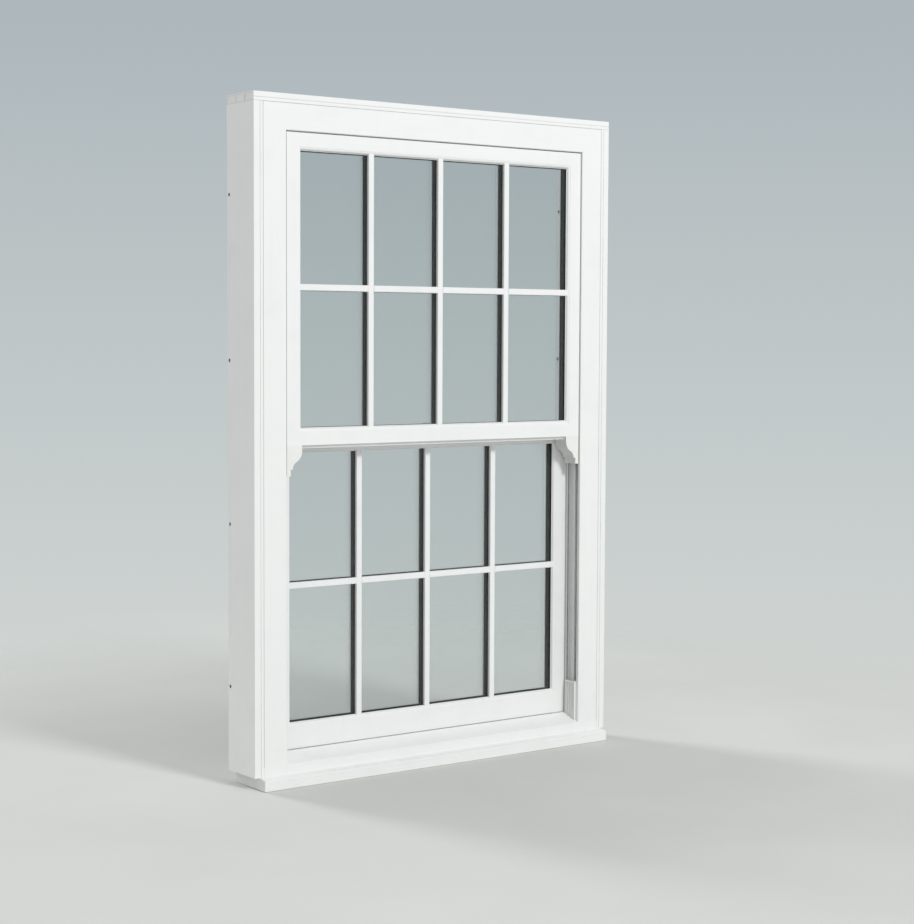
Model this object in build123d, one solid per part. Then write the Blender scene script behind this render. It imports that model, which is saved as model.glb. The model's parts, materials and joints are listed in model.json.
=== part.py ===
from build123d import *
from math import cos, radians, sin
import os

# Vertical sliding sash window with its frame and sill, double glazed, two sashes of eight panes.
# Millimetres. X runs along the width, Z is up, the outside of the building lies towards -Y.
# Depths (Y) are counted from the outer face of the frame, heights from the sill's underside.
# Everything is shifted by middle_depth when it is saved, so the origin lies under the middle of the window.

# Whole window
overall_width = 1155.0
overall_height = 1760.0
frame_depth = 135.0

# Sill under the frame
sill_height = 31.0
sill_front_height = 28.0
sill_nosing = 28.0
sill_back_inset = 13.0
sill_end_inset = 15.0
sill_wall = 2.8
sill_front_radius = 2.5
sill_foot_radius = 1.5
sill_web_count = 3
drip_groove_width = 4.0
drip_groove_depth = 3.0
drip_groove_setback = 10.0
end_cap_thickness = 2.0
end_cap_border = 0.6

# Strips added round the frame to fill the opening
side_strip_width = 27.0
head_strip_height = 23.0
side_strip_groove_at = 18.0
head_strip_groove_at = 14.0
strip_groove_width = 1.6
strip_groove_depth = 1.5
strip_wall = 2.5
strip_chamber_count = 3
seam_radius = 0.8

# Frame profile of jambs and head
frame_face = 68.0
frame_wall = 2.8
lip_depth = 10.0
lip_cover = 14.0
lip_radius = 3.0
fin_thickness = 10.0
fin_radius = 1.5
channel_width = 32.0
channel_depth = 22.0
channel_lip = 5.0
slot_width = 18.0

# Frame bottom
bottom_front_rise = 26.0
slope_run = 58.0
slope_rise = 22.0
floor_rise = 40.0
bottom_wall = 3.0
slope_to_lower_sash = 2.0

# Sash profile
sash_thickness = 48.0
sash_face = 45.0
flange_width = 8.0
flange_setback = 9.5
side_gap = 3.0
front_gap = 4.5
fin_gap = 3.5
moulding_width = 9.0
moulding_quirk = 1.0
moulding_edge = 1.5
moulding_depth = 8.0
moulding_radius = 6.9
seat_depth = 9.0
rebate_width = 20.0
sash_wall = 2.7
bottom_rail_height = 69.0
floor_gap = 9.0
rails_overlap = 38.0

# Glass unit, gaskets and beads
pane_thickness = 4.0
cavity = 16.0
glass_edge_cover = 15.0
gasket_thickness = 2.0
gasket_width = 6.0
gasket_setback = 0.4
spacer_start = 2.0
spacer_width = 6.5
setting_block_length = 100.0
setting_block_inset = 150.0
bead_wall = 2.0

# Glazing bars
bars_across = 3
bar_width = 17.0
bar_height = 8.5
bar_radius = 2.5
inner_spacer_bar_width = 13.0
crossbar_above_middle = 6.5

# Horns under the upper sash
horn_length = 70.0
horn_tip_width = 11.0
horn_step_width = 17.0
horn_step_height = 17.0
horn_round_end = 29.0
horn_round_drop = 33.5
horn_shoulder_drop = 4.0
horn_round_across = 0.24
horn_hollow_across = 0.28
horn_curve_share = 0.42

# Stop blocks in the outer track
block_above_slope = 93.0
block_out = 20.0
block_rib_height = 2.5
block_ribs = 6
block_rib_width = 3.2
block_margin = 0.5
block_tongue_clearance = 0.4
stop_clearance = 0.5

# Stops in the inner track
track_stop_height = 40.0
track_stop_width = 18.0
track_stop_out = 15.0
track_stop_setback = 4.0
track_stop_radius = 3.0
lower_travel = 650.0

# Pivots and balance shoes
pivot_above_sash_foot = 17.0
pivot_from_room_face = 9.5
pivot_bar_height = 12.0
pivot_bar_thickness = 5.0
bar_hole_clearance = 0.2
cam_diameter = 22.0
cam_running_clearance = 0.05
cam_length = 12.0
shoe_height = 60.0
shoe_below_pivot = 24.0
shoe_clearance = 0.3
shoe_chamfer = 2.0
notch_above_pivot = 58.0
end_block_height = 32.0
end_block_clearance = 0.3

# Spiral balances
tube_diameter = 16.0
tube_wall = 1.5
tube_back_clearance = 0.2
tube_top_below_head = 5.0
rod_diameter = 6.0
rod_foot = 10.0
bush_bore_clearance = 0.1
bush_flange = 3.0
bush_plug = 12.0
upper_tube_start = 84.0
lower_tube_start = 773.0
rod_top_gap = 60.0
tube_screw_diameter = 4.0
tube_screw_drop = 14.0
tube_screw_grip = 8.0
tube_screw_bore_margin = 1.0

# Tilt latches in the top corners of the sashes
latch_case_width = 16.6
latch_case_height = 12.5
latch_case_length = 58.0
latch_case_wall = 1.6
latch_cover_thickness = 1.6
latch_pocket_clearance = 0.2
latch_bolt_width = 13.0
latch_bolt_clearance = 0.2
latch_bolt_engagement = 6.5
latch_travel = 14.0
latch_button_length = 12.0
latch_button_width = 8.0
latch_button_rise = 3.2
latch_button_setback = 24.0
latch_button_radius = 1.2
latch_cover_radius = 2.5
latch_nose_length = 9.0
latch_nose_flat_share = 0.4
latch_end_clearance = 1.0

# Meeting rails: interlocks, keeper and cam fastener
interlock_height = 16.0
interlock_low = 2.0
interlock_clearance = 0.3
interlock_lead = 1.2
upper_interlock_depth = 3.5
interlock_end_gap = 2.0
keeper_width = 44.0
keeper_mouth_width = 25.0
keeper_mouth_height = 6.0
keeper_mouth_depth = 3.0
keeper_gap = 2.0
keeper_plate = 2.0
keeper_step = 11.0
keeper_top_gap = 0.5
keeper_radius = 1.5
keeper_screw_inset = 8.0
keeper_screw_rise = 5.5
fastener_base_length = 64.0
fastener_base_width = 30.0
fastener_base_height = 5.0
fastener_base_trim = 2.5
fastener_base_radius = 6.0
fastener_edge_radius = 1.0
fastener_screw_inset = 8.0
fastener_screw_sink = 2.6
fastener_setback = 12.5
nose_tip_clearance = 0.5
nose_thickness = 4.6
nose_half_angle = 18.0
hub_diameter = 17.0
hub_pin_diameter = 7.0
pin_running_clearance = 0.05
handle_length = 48.0
handle_width = 10.0
handle_rise = 5.0
hub_lift = 0.3
hub_pin_rise = 1.0
lever_tip_flat = 1.0
lever_edge_radius = 1.0

# Finger lifts on the bottom rail
lift_spacing = 460.0
lift_width = 55.0
lift_height = 26.0
lift_plate = 3.5
lift_out = 15.5
lift_above_pivot = 6.0
lift_wall = 3.0
lift_lip_height = 14.0
lift_outer_radius = 5.0
lift_inner_radius = 2.5
lift_lip_radius = 1.2
lift_screw_drop = 7.0
lift_screw_inset = 9.0

# Brush seals, steels and screws
brush_base_width = 4.8
brush_base_depth = 1.4
brush_mouth = 3.2
brush_mouth_depth = 0.9
brush_pile_width = 2.4
brush_clearance = 0.3
brush_setback = 1.6
brush_end_gap = 2.0
groove_side_clearance = 0.2
steel_wall = 1.5
steel_clearance = 0.5
steel_end_gap = 90.0
screw_head_diameter = 7.6
screw_head_height = 2.2
screw_shank_diameter = 3.9
screw_recess_depth = 1.1
screw_recess_width = 1.1
screw_recess_length = 4.2
screw_bite = 9.0
screw_head_clearance = 0.3

# Holes for the frame fixings
fixing_hole_diameter = 10.0
fixing_hole_from_back = 10.0
fixing_from_ends = 250.0
fixing_count = 4

# How far cuts run past the surfaces that they open
cut_past = 1.0
slab_reach = 200.0

# Places that follow from the sizes above
middle_depth = (frame_depth - sill_nosing) / 2
half_width = overall_width / 2
lip_edge = side_strip_width + frame_face
web_face = lip_edge - lip_cover
channel_front = web_face - channel_lip
channel_back = channel_front - channel_depth
head_top = overall_height - head_strip_height
head_lip = head_top - frame_face
head_datum = head_top + side_strip_width
upper_face = front_gap
upper_back = upper_face + sash_thickness
fin_front = upper_back + fin_gap
fin_back = fin_front + fin_thickness
lower_face = slope_run + slope_to_lower_sash
lower_back = lower_face + sash_thickness
sight_inset = lip_edge + side_gap + sash_face
sight_half = half_width - sight_inset
flange_reach = sash_face + flange_width
bottom_front = sill_height + bottom_front_rise
slope_top = bottom_front + slope_rise
floor_level = sill_height + floor_rise
lower_foot = floor_level + floor_gap
lower_sight_low = lower_foot + bottom_rail_height
upper_sight_high = head_lip - side_gap - sash_face
sight_height = (upper_sight_high - lower_sight_low - 2 * flange_reach + rails_overlap) / 2
lower_sight_high = lower_sight_low + sight_height
upper_sight_low = upper_sight_high - sight_height
lower_top = lower_sight_high + flange_reach
upper_foot = upper_sight_low - flange_reach
upper_top = upper_sight_high + flange_reach
outer_slot = upper_face + sash_thickness / 2
inner_slot = lower_back - pivot_from_room_face
lower_pivot_height = lower_foot + pivot_above_sash_foot
upper_pivot_height = upper_foot + pivot_above_sash_foot
glass_front = seat_depth + gasket_thickness
glass_back = glass_front + 2 * pane_thickness + cavity
bead_front = glass_back + gasket_thickness
tube_inset = channel_back + tube_diameter / 2 + tube_back_clearance
tube_top = head_datum - tube_inset - tube_top_below_head
horn_foot = upper_foot - horn_length
block_top = slope_top + block_above_slope
track_stop_foot = lower_top + lower_travel + stop_clearance
brush_middle = lip_edge - brush_setback - brush_base_width / 2
rod_seat = shoe_height - shoe_below_pivot - rod_foot
rod_top = tube_top - tube_screw_drop - rod_top_gap
latch_start = lip_edge + side_gap - flange_width
keeper_low = upper_foot + interlock_low + interlock_height + keeper_gap
fastener_y = lower_face + flange_setback + fastener_setback
fixing_step = (overall_height - 2 * fixing_from_ends) / (fixing_count - 1)
fixing_heights = [fixing_from_ends + number * fixing_step for number in range(fixing_count)]


def box(x0, x1, y0, y1, z0, z1):
    """Block between two corners."""
    middle = Pos((x0 + x1) / 2, (y0 + y1) / 2, (z0 + z1) / 2)
    return middle * Box(abs(x1 - x0), abs(y1 - y0), abs(z1 - z0))


def rectangle(x0, x1, y0, y1):
    """Flat rectangle between two corners."""
    return Pos((x0 + x1) / 2, (y0 + y1) / 2) * Rectangle(abs(x1 - x0), abs(y1 - y0))


def outline(points, rounds=()):
    """Closed section through the points; rounds holds (corner, radius) pairs."""
    face = make_face(Polyline(*points, close=True))
    for corner, radius in rounds:
        place = Vector(*corner)
        found = [vertex for vertex in face.vertices() if (Vector(vertex) - place).length < 0.01]
        face = fillet(found, radius)
    return face


def slab(points, front=-slab_reach, back=2 * slab_reach):
    """Prism through the depth of the window over an outline in X and Z."""
    plane = Plane(origin=(0, back, 0), x_dir=(1, 0, 0), z_dir=(0, -1, 0))
    return extrude(plane * outline(points), back - front)


def along_width(section, start, end):
    """Prism along X over a section drawn in Y and Z."""
    plane = Plane(origin=(start, 0, 0), x_dir=(0, 1, 0), z_dir=(1, 0, 0))
    return extrude(plane * section, end - start)


def rod_x(x0, x1, y, z, diameter):
    """Round bar along X."""
    middle = Pos((x0 + x1) / 2, y, z) * Rot(0, 90, 0)
    return middle * Cylinder(diameter / 2, abs(x1 - x0))


def rod_z(x, y, z0, z1, diameter):
    """Round bar along Z."""
    return Pos(x, y, (z0 + z1) / 2) * Cylinder(diameter / 2, z1 - z0)


def other_side(shape):
    """Copy on the other side of the middle of the window."""
    return mirror(shape, about=Plane.YZ)


def inset(distance):
    """X of a point this far in from the right-hand edge of the frame."""
    return half_width - distance


def save(name, *solids):
    """Write one named piece, or a group of like pieces, as one file."""
    placed = [Pos(0, -middle_depth, 0) * solid for solid in solids]
    shape = placed[0] if len(placed) == 1 else Compound(children=placed)
    export_step(shape, f"parts/{name}.step")


def screw():
    """Small pan-head screw with a cross recess: the seat of the head at Z 0, the shank down."""
    head = Pos(0, 0, screw_head_height / 2) * Cylinder(screw_head_diameter / 2, screw_head_height)
    head = fillet(head.edges().group_by(Axis.Z)[-1], screw_head_height / 2)
    shank = Pos(0, 0, -screw_bite / 2) * Cylinder(screw_shank_diameter / 2, screw_bite)
    body = head + shank
    for turn in (0, 90):
        recess = Box(screw_recess_length, screw_recess_width, 2 * screw_recess_depth)
        body -= Pos(0, 0, screw_head_height) * Rot(0, 0, turn) * recess
    return body


def screw_hole(place):
    """Hole that a screw's shank fills, for cutting; place puts the head's seat."""
    return place * Pos(0, 0, -screw_bite / 2) * Cylinder(screw_shank_diameter / 2, screw_bite)


# Frame

def brush_groove(middle, face, inward):
    """Corners of an undercut groove in a face at this depth; inward is +1 or -1 along the depth."""
    half_mouth = brush_mouth / 2
    half_base = brush_base_width / 2 + groove_side_clearance
    shallow = face + inward * brush_mouth_depth
    deep = shallow + inward * (brush_base_depth + groove_side_clearance)
    return [
        (middle + half_mouth, face), (middle + half_mouth, shallow), (middle + half_base, shallow),
        (middle + half_base, deep), (middle - half_base, deep), (middle - half_base, shallow),
        (middle - half_mouth, shallow), (middle - half_mouth, face),
    ]


def frame_section():
    """Section of jambs and head: distance in from the edge, then depth."""
    outer = (outer_slot - slot_width / 2, outer_slot + slot_width / 2)
    inner = (inner_slot - slot_width / 2, inner_slot + slot_width / 2)
    outer_channel = (outer_slot - channel_width / 2, outer_slot + channel_width / 2)
    inner_channel = (inner_slot - channel_width / 2, inner_slot + channel_width / 2)

    def channel(slot, walls):
        return [
            (web_face, slot[0]), (channel_front, slot[0]), (channel_front, walls[0]),
            (channel_back, walls[0]), (channel_back, walls[1]), (channel_front, walls[1]),
            (channel_front, slot[1]), (web_face, slot[1]),
        ]

    points = [(side_strip_width, 0), (lip_edge, 0), (lip_edge, lip_depth)]
    points += brush_groove(brush_middle, lip_depth, -1)
    points += [(web_face, lip_depth)]
    points += channel(outer, outer_channel)
    points += [(web_face, fin_front)]
    points += list(reversed(brush_groove(brush_middle, fin_front, 1)))
    points += [(lip_edge, fin_front), (lip_edge, fin_back)]
    points += brush_groove(brush_middle, fin_back, -1)
    points += [(web_face, fin_back)]
    points += channel(inner, inner_channel)
    points += [(web_face, frame_depth), (side_strip_width, frame_depth)]
    rounds = [
        ((lip_edge, 0), lip_radius), ((side_strip_width, 0), seam_radius),
        ((lip_edge, fin_front), fin_radius), ((lip_edge, fin_back), fin_radius),
    ]
    section = outline(points, rounds)
    back = side_strip_width + frame_wall
    split = (outer_channel[1] + inner_channel[0]) / 2
    near = channel_back - frame_wall
    front_wall = web_face - frame_wall
    section -= rectangle(back, near, frame_wall, split - frame_wall / 2)
    section -= rectangle(back, near, split + frame_wall / 2, frame_depth - frame_wall)
    section -= rectangle(channel_back, front_wall, frame_wall, outer_channel[0] - frame_wall)
    between = (outer_channel[1] + frame_wall, inner_channel[0] - frame_wall)
    section -= rectangle(channel_back, front_wall, *between)
    section -= rectangle(channel_back, front_wall, inner_channel[1] + frame_wall, frame_depth - frame_wall)
    return section


def bottom_outline():
    """Section of the frame bottom in depth and height, sloped to shed water."""
    return [
        (0, sill_height), (0, bottom_front), (slope_run, slope_top), (slope_run, floor_level),
        (frame_depth, floor_level), (frame_depth, sill_height),
    ]


def frame_bottom():
    """Bottom member of the frame with its two chambers."""
    rounds = [((0, bottom_front), seam_radius), ((slope_run, slope_top), seam_radius)]
    section = outline(bottom_outline(), rounds)
    low = sill_height + bottom_wall
    fall = slope_rise / slope_run * bottom_wall
    section -= outline([
        (bottom_wall, low), (bottom_wall, bottom_front - bottom_wall + fall),
        (slope_run - bottom_wall, slope_top - bottom_wall - fall), (slope_run - bottom_wall, low),
    ])
    section -= rectangle(slope_run, frame_depth - bottom_wall, low, floor_level - bottom_wall)
    end = inset(side_strip_width)
    return along_width(section, -end, end)


def below_bottom():
    """Everything under the top of the frame bottom, for scribing what stands on it."""
    section = outline(bottom_outline() + [(frame_depth, 0), (0, 0)])
    return along_width(section, -half_width, half_width)


def fixing_holes():
    """Holes for the frame fixings through one jamb and its strip."""
    depth = frame_depth - fixing_hole_from_back
    start, end = inset(0) + cut_past, inset(web_face) - cut_past
    return [rod_x(start, end, depth, height, fixing_hole_diameter) for height in fixing_heights]


def right_jamb():
    """Right jamb, mitred at the head and scribed over the frame bottom."""
    plane = Plane(origin=(half_width, 0, head_top), x_dir=(-1, 0, 0), z_dir=(0, 0, -1))
    jamb = extrude(plane * frame_section(), head_top)
    edge = inset(side_strip_width)
    reach = inset(lip_edge + cut_past)
    jamb &= slab([(edge, head_top), (reach, head_lip - cut_past), (reach, 0), (edge, 0)])
    jamb -= below_bottom()
    for hole in fixing_holes():
        jamb -= hole
    for y in (outer_slot, inner_slot):
        start = inset(channel_back) - cut_past
        jamb -= rod_x(start, start + tube_screw_grip, y, tube_top - tube_screw_drop, tube_screw_diameter)
    return jamb


def head():
    """Head of the frame, mitred to the jambs."""
    plane = Plane(origin=(-half_width, 0, head_datum), x_dir=(0, 0, -1), z_dir=(1, 0, 0))
    edge = inset(side_strip_width)
    reach = inset(lip_edge + cut_past)
    low = head_lip - cut_past
    mitre = slab([(-edge, head_top), (edge, head_top), (reach, low), (-reach, low)])
    return extrude(plane * frame_section(), overall_width) & mitre


def strip_section(width, groove_at):
    """Hollow strip: distance across it, then depth, with the groove line in its face."""
    half = strip_groove_width / 2
    section = outline(
        [
            (0, 0), (groove_at - half, 0), (groove_at - half, strip_groove_depth),
            (groove_at + half, strip_groove_depth), (groove_at + half, 0), (width, 0),
            (width, frame_depth), (0, frame_depth),
        ],
        [((width, 0), seam_radius)],
    )
    first = strip_groove_depth + strip_wall
    chamber = (frame_depth - first - strip_wall * strip_chamber_count) / strip_chamber_count
    for number in range(strip_chamber_count):
        start = first + number * (chamber + strip_wall)
        section -= rectangle(strip_wall, width - strip_wall, start, start + chamber)
    return section


def right_strip():
    """Extension strip outside the right jamb, standing on the sill."""
    plane = Plane(origin=(half_width, 0, head_top), x_dir=(-1, 0, 0), z_dir=(0, 0, -1))
    section = strip_section(side_strip_width, side_strip_groove_at)
    strip = extrude(plane * section, head_top - sill_height)
    for hole in fixing_holes():
        strip -= hole
    return strip


def head_strip():
    """Extension strip over the head, across the full width."""
    plane = Plane(origin=(-half_width, 0, overall_height), x_dir=(0, 0, -1), z_dir=(1, 0, 0))
    return extrude(plane * strip_section(head_strip_height, head_strip_groove_at), overall_width)


def sill_outline():
    """Section of the sill in depth and height, without its groove."""
    back = frame_depth - sill_back_inset
    return [
        (-sill_nosing, 0), (-sill_nosing, sill_front_height), (0, sill_height),
        (back, sill_height), (back, 0),
    ]


def sill():
    """Hollow sill with a rounded nosing and a drip groove under it."""
    back = frame_depth - sill_back_inset
    rounds = [((-sill_nosing, sill_front_height), sill_front_radius), ((-sill_nosing, 0), sill_foot_radius)]
    section = outline(sill_outline(), rounds)
    groove = -sill_nosing + drip_groove_setback
    section -= rectangle(groove, groove + drip_groove_width, 0, drip_groove_depth)
    first = -sill_nosing + sill_wall
    step = (back - sill_wall - first + sill_wall) / (sill_web_count + 1)
    low = drip_groove_depth + sill_wall
    high = sill_front_height - sill_wall
    for number in range(sill_web_count + 1):
        start = first + number * step
        section -= rectangle(start, start + step - sill_wall, low, high)
    end = inset(sill_end_inset)
    return along_width(section, -end, end)


def right_end_cap():
    """Cap on the right-hand end of the sill."""
    back = frame_depth - sill_back_inset
    section = outline([
        (-sill_nosing, end_cap_border), (-sill_nosing, sill_front_height - end_cap_border),
        (0, sill_height - end_cap_border), (back, sill_height - end_cap_border), (back, end_cap_border),
    ])
    start = inset(sill_end_inset)
    return along_width(section, start, start + end_cap_thickness)


def right_stop_block():
    """Ribbed block at the foot of the outer track, on the slope, that stops the horns."""
    front = lip_depth + block_margin
    back = upper_back + block_margin * 2
    plate_out = block_out - block_rib_height
    plane = Plane(origin=(half_width, 0, block_top), x_dir=(-1, 0, 0), z_dir=(0, 0, -1))
    section = rectangle(web_face, web_face + plate_out, front, back)
    pitch = (back - front - block_rib_width) / (block_ribs - 1)
    for number in range(block_ribs):
        start = front + number * pitch
        root = web_face + plate_out - cut_past
        rib = rectangle(root, web_face + block_out, start, start + block_rib_width)
        section += rib
    tongue = slot_width / 2 - block_tongue_clearance
    neck = web_face + cut_past
    section += rectangle(channel_front, neck, outer_slot - tongue, outer_slot + tongue)
    return extrude(plane * section, block_top - sill_height) - below_bottom()


def track_stop_place():
    """Seat of the screw's head on the right-hand inner stop."""
    y = fin_back + track_stop_setback + track_stop_width / 2
    z = track_stop_foot + track_stop_height / 2
    return Pos(inset(web_face + track_stop_out), y, z) * Rot(0, -90, 0)


def right_track_stop():
    """Stop at the top of the inner track: the lower sash's flange meets it when fully raised."""
    y0 = fin_back + track_stop_setback
    z0 = track_stop_foot
    x0, x1 = inset(web_face), inset(web_face + track_stop_out)
    stop = box(x0, x1, y0, y0 + track_stop_width, z0, z0 + track_stop_height)
    stop = fillet(stop.edges().filter_by(Axis.Y).group_by(Axis.X)[0], track_stop_radius)
    return stop - screw_hole(track_stop_place())


def tube_places():
    """Depth and lower end of the right-hand tubes: outer track, then inner track."""
    return [
        (outer_slot, upper_pivot_height + upper_tube_start),
        (inner_slot, lower_pivot_height + lower_tube_start),
    ]


def balance_tubes():
    """Tubes of the spiral balances on the right."""
    tubes = []
    x = inset(tube_inset)
    half = tube_diameter / 2 + cut_past
    for y, start in tube_places():
        tube = rod_z(x, y, start, tube_top, tube_diameter)
        tube -= rod_z(x, y, start, tube_top, tube_diameter - 2 * tube_wall)
        tube -= rod_x(x - half, x + half, y, tube_top - tube_screw_drop, tube_screw_diameter)
        tubes.append(tube)
    return tubes


def balance_bushes():
    """Bushes in the lower ends of the right-hand tubes, through which the rods run."""
    bushes = []
    x = inset(tube_inset)
    bore = rod_diameter + 2 * bush_bore_clearance
    for y, start in tube_places():
        bush = rod_z(x, y, start - bush_flange, start, tube_diameter)
        bush += rod_z(x, y, start, start + bush_plug, tube_diameter - 2 * tube_wall)
        bush -= rod_z(x, y, start - bush_flange, start + bush_plug, bore)
        bushes.append(bush)
    return bushes


def balance_screws():
    """Screws that hold the tops of the right-hand tubes to the back of their channels."""
    screws = []
    z = tube_top - tube_screw_drop
    tip = inset(channel_back) + tube_screw_grip - tube_screw_bore_margin
    shoulder = inset(tube_inset) - tube_diameter / 2
    for y in (outer_slot, inner_slot):
        shank = rod_x(shoulder, tip, y, z, tube_screw_diameter)
        screws.append(shank + rod_x(shoulder - screw_head_height, shoulder, y, z, screw_head_diameter))
    return screws


def box_steel(x0, x1, y0, y1, z0, z1, axis):
    """Rectangular steel tube with open ends along the named axis."""
    t = steel_wall
    outer = box(x0, x1, y0, y1, z0, z1)
    if axis == "z":
        return outer - box(x0 + t, x1 - t, y0 + t, y1 - t, z0, z1)
    return outer - box(x0, x1, y0 + t, y1 - t, z0 + t, z1 - t)


def frame_steels():
    """Steels in the rear chambers of both jambs and the head."""
    split = (outer_slot + inner_slot) / 2
    y0 = split + frame_wall / 2 + steel_clearance
    y1 = inner_slot + channel_width / 2
    near = channel_back - frame_wall - steel_clearance
    far = side_strip_width + frame_wall + steel_clearance
    z0, z1 = floor_level + steel_end_gap, head_lip - steel_end_gap
    right = box_steel(inset(near), inset(far), y0, y1, z0, z1, "z")
    reach = inset(lip_edge + steel_end_gap)
    top = box_steel(-reach, reach, y0, y1, head_datum - near, head_datum - far, "x")
    return [right, other_side(right), top]


def brush(middle, half_run, y, inward, pile, upright):
    """Brush strip round a middle (X, Z): its base lies in the groove, its pile stands out of it."""
    x, z = middle
    strip = None
    shallow = y + inward * brush_mouth_depth
    deep = shallow + inward * brush_base_depth
    tip = y - inward * pile
    for width, y0, y1 in ((brush_base_width, shallow, deep), (brush_pile_width, tip, shallow)):
        half_x, half_z = (width / 2, half_run) if upright else (half_run, width / 2)
        piece = box(x - half_x, x + half_x, y0, y1, z - half_z, z + half_z)
        strip = piece if strip is None else strip + piece
    return strip


def frame_brushes():
    """Brush strips in the lips and fins of the jambs and the head."""
    strips = []
    lip = (lip_depth, -1, upper_face + flange_setback - lip_depth - brush_clearance)
    fin_outside = (fin_front, 1, fin_gap - brush_clearance)
    fin_room_side = (fin_back, -1, lower_face + flange_setback - fin_back - brush_clearance)
    starts = (block_top, block_top, slope_top)
    for (y, inward, pile), start in zip((lip, fin_outside, fin_room_side), starts):
        low = start + brush_end_gap
        middle = (inset(brush_middle), (low + head_lip) / 2)
        strip = brush(middle, (head_lip - low) / 2, y, inward, pile, True)
        strips += [strip, other_side(strip)]
    for y, inward, pile in (lip, fin_outside):
        strips.append(brush((0, head_datum - brush_middle), inset(lip_edge), y, inward, pile, False))
    return strips


# Sashes

def sash_outline(reach, flange):
    """Outline of a sash member: distance out from the sight line, then depth from the sash's face."""
    points = [
        (moulding_width, 0), (moulding_width, moulding_quirk), (moulding_edge, moulding_quirk),
        (moulding_edge, moulding_depth), (0, moulding_depth), (0, seat_depth), (rebate_width, seat_depth),
        (rebate_width, sash_thickness), (reach, sash_thickness),
    ]
    if flange:
        step = reach - flange_width
        points += [(reach, flange_setback), (step, flange_setback), (step, 0)]
    else:
        points += [(reach, 0)]
    return outline(points, [((moulding_edge, moulding_quirk), moulding_radius)])


def sash_section():
    """Hollow section of stiles, top rail and meeting rail."""
    section = sash_outline(flange_reach, True)
    start = rebate_width + sash_wall
    end = sash_face - sash_wall
    step = flange_setback + sash_wall
    section -= rectangle(start, end, step, sash_thickness - sash_wall)
    section -= rectangle(start, end, sash_wall, step - sash_wall)
    section -= rectangle(sash_face, flange_reach - sash_wall, step, sash_thickness - sash_wall)
    return section


def bottom_rail_section():
    """Hollow section of the deep bottom rail with the groove for its brush."""
    section = sash_outline(bottom_rail_height, False)
    start = rebate_width + sash_wall
    step = flange_setback + sash_wall
    end = bottom_rail_height - 2 * sash_wall
    section -= rectangle(start, end, step, sash_thickness - sash_wall)
    section -= rectangle(start, end, sash_wall, step - sash_wall)
    groove = brush_mouth_depth + brush_base_depth + groove_side_clearance
    middle = sash_thickness / 2
    half = brush_base_width / 2 + groove_side_clearance
    foot = bottom_rail_height
    section -= rectangle(foot - groove, foot - brush_mouth_depth, middle - half, middle + half)
    section -= rectangle(foot - groove, foot, middle - brush_mouth / 2, middle + brush_mouth / 2)
    return section


def bead_section():
    """Section of a glazing bead: moulded towards the room like the sash outside."""
    top = sash_thickness
    points = [
        (0, bead_front), (0, top - moulding_depth), (moulding_edge, top - moulding_depth),
        (moulding_edge, top - moulding_quirk), (moulding_width, top - moulding_quirk),
        (moulding_width, top), (rebate_width, top), (rebate_width, bead_front),
    ]
    section = outline(points, [((moulding_edge, top - moulding_quirk), moulding_radius)])
    near, far = moulding_width + bead_wall, rebate_width - bead_wall
    return section - rectangle(near, far, bead_front + bead_wall, top - bead_wall)


def right_member(section, reach, face, low, high):
    """Upright member on the right of a glass opening, mitred at both ends."""
    foot = low - reach
    plane = Plane(origin=(sight_half, face, foot), x_dir=(1, 0, 0), z_dir=(0, 0, 1))
    edge = sight_half + reach
    mitre = slab([(sight_half, low), (edge, foot), (edge, high + reach), (sight_half, high)])
    return extrude(plane * section, high + reach - foot) & mitre


def top_member(section, reach, face, high):
    """Member over a glass opening, mitred at both ends."""
    edge = sight_half + reach
    plane = Plane(origin=(edge, face, high), x_dir=(0, 0, 1), z_dir=(-1, 0, 0))
    mitre = slab([(-sight_half, high), (-edge, high + reach), (edge, high + reach), (sight_half, high)])
    return extrude(plane * section, 2 * edge) & mitre


def low_member(section, reach, face, low):
    """Member under a glass opening, mitred at both ends."""
    edge = sight_half + reach
    plane = Plane(origin=(-edge, face, low), x_dir=(0, 0, -1), z_dir=(1, 0, 0))
    mitre = slab([(-sight_half, low), (-edge, low - reach), (edge, low - reach), (sight_half, low)])
    return extrude(plane * section, 2 * edge) & mitre


def latch_box(slot, top, clearance):
    """Block over the right-hand latch case, grown by a clearance."""
    start = inset(latch_start) + clearance
    end = inset(latch_start) - latch_case_length - clearance
    half = latch_case_width / 2 + clearance
    return box(end, start, slot - half, slot + half, top - latch_case_height - clearance, top)


def pivot_bar_box(slot, height, clearance):
    """Block over the right-hand pivot bar, grown by a clearance."""
    start = inset(channel_front - cam_length)
    end = inset(sight_inset - rebate_width - sash_wall)
    half_y = pivot_bar_thickness / 2 + clearance
    half_z = pivot_bar_height / 2 + clearance
    return box(end, start, slot - half_y, slot + half_y, height - half_z, height + half_z)


def upper_right_stile():
    """Right stile of the upper sash with the latch pocket and the hole for its pivot bar."""
    stile = right_member(sash_section(), flange_reach, upper_face, upper_sight_low, upper_sight_high)
    stile -= latch_box(outer_slot, upper_top, latch_pocket_clearance)
    return stile - pivot_bar_box(outer_slot, upper_pivot_height, bar_hole_clearance)


def pocketed_top_rail(face, slot, high):
    """Top rail of a sash with the two latch pockets."""
    rail = top_member(sash_section(), flange_reach, face, high)
    pocket = latch_box(slot, high + flange_reach, latch_pocket_clearance)
    return rail - pocket - other_side(pocket)


def keeper_screw_places():
    """Seats of the keeper's screws."""
    y = upper_back + keeper_plate
    z = keeper_low + keeper_screw_rise
    x = keeper_width / 2 - keeper_screw_inset
    return [Pos(side * x, y, z) * Rot(-90, 0, 0) for side in (-1, 1)]


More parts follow.
